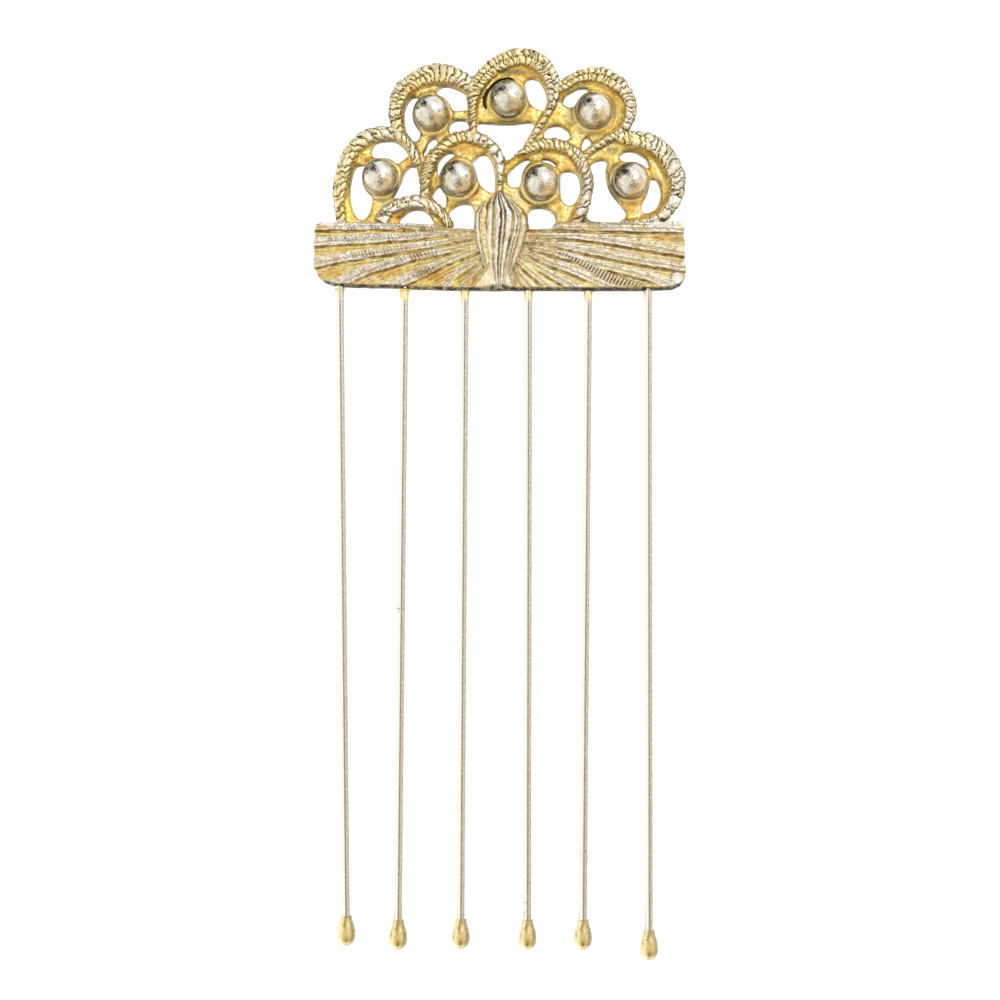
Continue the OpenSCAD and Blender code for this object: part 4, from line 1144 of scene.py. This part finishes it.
def marked(colour, other, marks, flecks=0):
    """A metal that goes from one colour to another in soft patches, with marks of other colours over it.

    flecks is the strength of small dark flecks all over.
    """
    def colour_of(tree, where):
        patches = scaled(tree, noise(tree, where, 1200), 0.35, 0.65, 0, 1)
        painted = blend(tree, patches, colour, other)
        for name, paint, strength, gaps in marks:
            kept = scaled(tree, noise(tree, where, 2800), 0.3 + 0.3 * gaps, 0.5 + 0.2 * gaps, 1 - gaps, 1)
            share = times(tree, times(tree, value_of(tree, name), kept), strength)
            painted = blend(tree, share, painted, paint)
        if flecks:
            fleck = scaled(tree, noise(tree, where, 3600, 2), 0.44, 0.34, 0, flecks)
            painted = blend(tree, fleck, painted, (0.3, 0.24, 0.16, 1))
        return painted, 0
    return colour_of


# Marks on the metals: name of the mesh's numbers, colour, strength, and how much the noise leaves out
# Painted reflections on the balls
BALL_REFLECTION_MARKS = [
    ("warm", (0.76, 0.55, 0.27, 1), 0.85, 0.5),
    ("dim_reflection", (0.36, 0.32, 0.27, 1), 0.8, 0.6),
    ("dark", (0.05, 0.045, 0.03, 1), 0.95, 0.4),
]
WIRE_MARKS = [
    # Painted shade and a painted reflected line on the wires; the solder and rough specks are their own
    ("painted_wire_shade", (0.5, 0.46, 0.42, 1), 1, 0.3),
    ("line", (0.2, 0.15, 0.12, 1), 1, 0.2),
    ("solder", (0.93, 0.8, 0.45, 1), 1, 0.2),
    ("rough", (0.12, 0.1, 0.08, 1), 0.8, 1),
]
TIP_MARKS = [
    # Painted highlight and shade on the drops
    ("pale", (0.95, 0.86, 0.58, 1), 0.8, 0.3),
    ("core", (0.62, 0.45, 0.18, 1), 0.95, 0.3),
    ("brown", (0.34, 0.24, 0.12, 1), 0.85, 0.4),
    ("dark", (0.3, 0.27, 0.17, 1), 0.9, 0.3),
]
gilt_metal = metal(
    "gilt_casting", gilt,
    roughness=(0.2, 0.38), slow=(1600, 0.06), fine=(5000, 0.06), lines=0.12, grit=True)
ball_metal = metal(
    "polished_ball", marked((0.86, 0.84, 0.78, 1), (0.68, 0.64, 0.55, 1), BALL_REFLECTION_MARKS, flecks=0.22),
    roughness=(0.1, 0.2), slow=(1500, 0.1), fine=(4200, 0.06))
wire_metal = metal(
    "wire", marked((0.93, 0.93, 0.91, 1), (0.92, 0.91, 0.86, 1), WIRE_MARKS),
    roughness=(0.12, 0.22), slow=(400, 0.02), fine=(3000, 0.004))
tip_metal = metal(
    "tip_metal", marked((0.84, 0.71, 0.38, 1), (0.74, 0.6, 0.3, 1), TIP_MARKS),
    roughness=(0.15, 0.3), slow=(900, 0.06), fine=(3500, 0.02))

for made, material, node_name, slot in (
    [(head, gilt_metal, "head", "gilt_casting")]
    + [(ball, ball_metal, f"ball_{k}", "polished_ball") for k, ball in enumerate(balls, 1)]
    + [(wire, wire_metal, f"tine_{k}", "wire") for k, wire in enumerate(wires, 1)]
    + [(tip, tip_metal, f"tip_{k}", "tip_metal") for k, tip in enumerate(tips, 1)]
):
    made.data.materials.clear()
    made.data.materials.append(material)
    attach(made, "root")
    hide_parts(node_name)

# Floor

FLOOR_DROP = 0.00002
bpy.ops.mesh.primitive_plane_add(size=6, location=(0, 0, -FLOOR_DROP))
floor = bpy.context.object
floor.name = "floor"
paper = bpy.data.materials.new("paper")
paper.use_nodes = True
tree = paper.node_tree
shader = tree.nodes["Principled BSDF"]
fibre = noise(tree, place_in(tree), 400)
paper_colour = blend(tree, fibre, (0.34, 0.34, 0.34, 1), (0.36, 0.36, 0.355, 1))
tree.links.new(paper_colour, shader.inputs["Base Color"])
shader.inputs["Roughness"].default_value = 0.9
shader.inputs["Specular IOR Level"].default_value = 0
shader.inputs["Emission Color"].default_value = (1, 1, 1, 1)
shader.inputs["Emission Strength"].default_value = 0.92
floor.data.materials.append(paper)

# Studio, as it shows on a ball seen from above with the ball's radius as 1: x and y of each soft patch,
# its half sizes, turn in degrees, softness of its edge, and colour, painted one over the other
STUDIO = [
    (0.3, 0.38, 0.6, 0.36, -38, 0.25, (1.04, 1.04, 1.02)),
    (-0.48, -0.22, 0.44, 0.5, 0, 0.2, (1.06, 1.05, 0.95)),
    (0.42, -0.45, 0.44, 0.36, -30, 0.4, (0.8, 0.7, 0.52)),
    (-0.25, 0.34, 0.2, 0.08, -51, 0.5, (0.2, 0.2, 0.17)),
    (-0.02, -0.42, 0.1, 0.28, 0, 0.5, (0.3, 0.23, 0.18)),
    (-0.46, 0.52, 0.3, 0.19, 135, 0.25, (0.05, 0.05, 0.035)),
]
SKY = (1.2, 1.17, 1.04, 1)
studio = bpy.data.worlds.new("studio")
scene.world = studio
studio.use_nodes = True
tree = studio.node_tree
tree.nodes.clear()
# A ball mirrors this direction where its surface faces half way between the direction and straight up
direction = node(tree, "ShaderNodeTexCoord").outputs["Generated"]
half_way = vector(tree, "NORMALIZE", vector(tree, "ADD", direction, (0, 0, 1)))
disc = vector(tree, "MULTIPLY", half_way, (1, 1, 0))
sky = SKY
for x, y, half_x, half_y, turn, soft, colour in STUDIO:
    local = node(tree, "ShaderNodeMapping", {
        "Vector": disc, "Location": (x, y, 0), "Rotation": (0, 0, math.radians(turn)),
        "Scale": (half_x, half_y, 1),
    }, vector_type="TEXTURE").outputs[0]
    away = vector(tree, "LENGTH", local)
    sky = blend(tree, scaled(tree, away, 1 - soft, 1 + soft, 1, 0), sky, (*colour, 1))
background = node(tree, "ShaderNodeBackground", {"Color": sky, "Strength": 1})
node(tree, "ShaderNodeOutputWorld", {0: background.outputs[0]})

# Light, in metres
KEY_PLACE = (0.3, 0.36, 0.55)
KEY_AIM = (0, 0.03, 0)
key = bpy.data.lights.new("key", "AREA")
key.energy = 0.75
key.size = 0.5
key_light = bpy.data.objects.new("key", key)
key_light.location = KEY_PLACE
key_light.rotation_euler = (Vector(KEY_AIM) - Vector(KEY_PLACE)).to_track_quat("-Z", "Y").to_euler()
scene.collection.objects.link(key_light)

# Camera straight above, in mm: its place, and the picture's width at the height of the head's middle
CAMERA_PLACE = Vector((-0.06, 0.55, 280))
PICTURE_WIDTH = 125
PICTURE_LEVEL = 1.8
camera_data = bpy.data.cameras.new("camera")
camera_data.angle = 2 * math.atan(PICTURE_WIDTH / 2 / (CAMERA_PLACE.z - PICTURE_LEVEL))
camera_data.clip_start = 0.01
camera = bpy.data.objects.new("camera", camera_data)
camera.location = CAMERA_PLACE * MM
scene.collection.objects.link(camera)
scene.camera = camera
scene.view_settings.view_transform = "Standard"
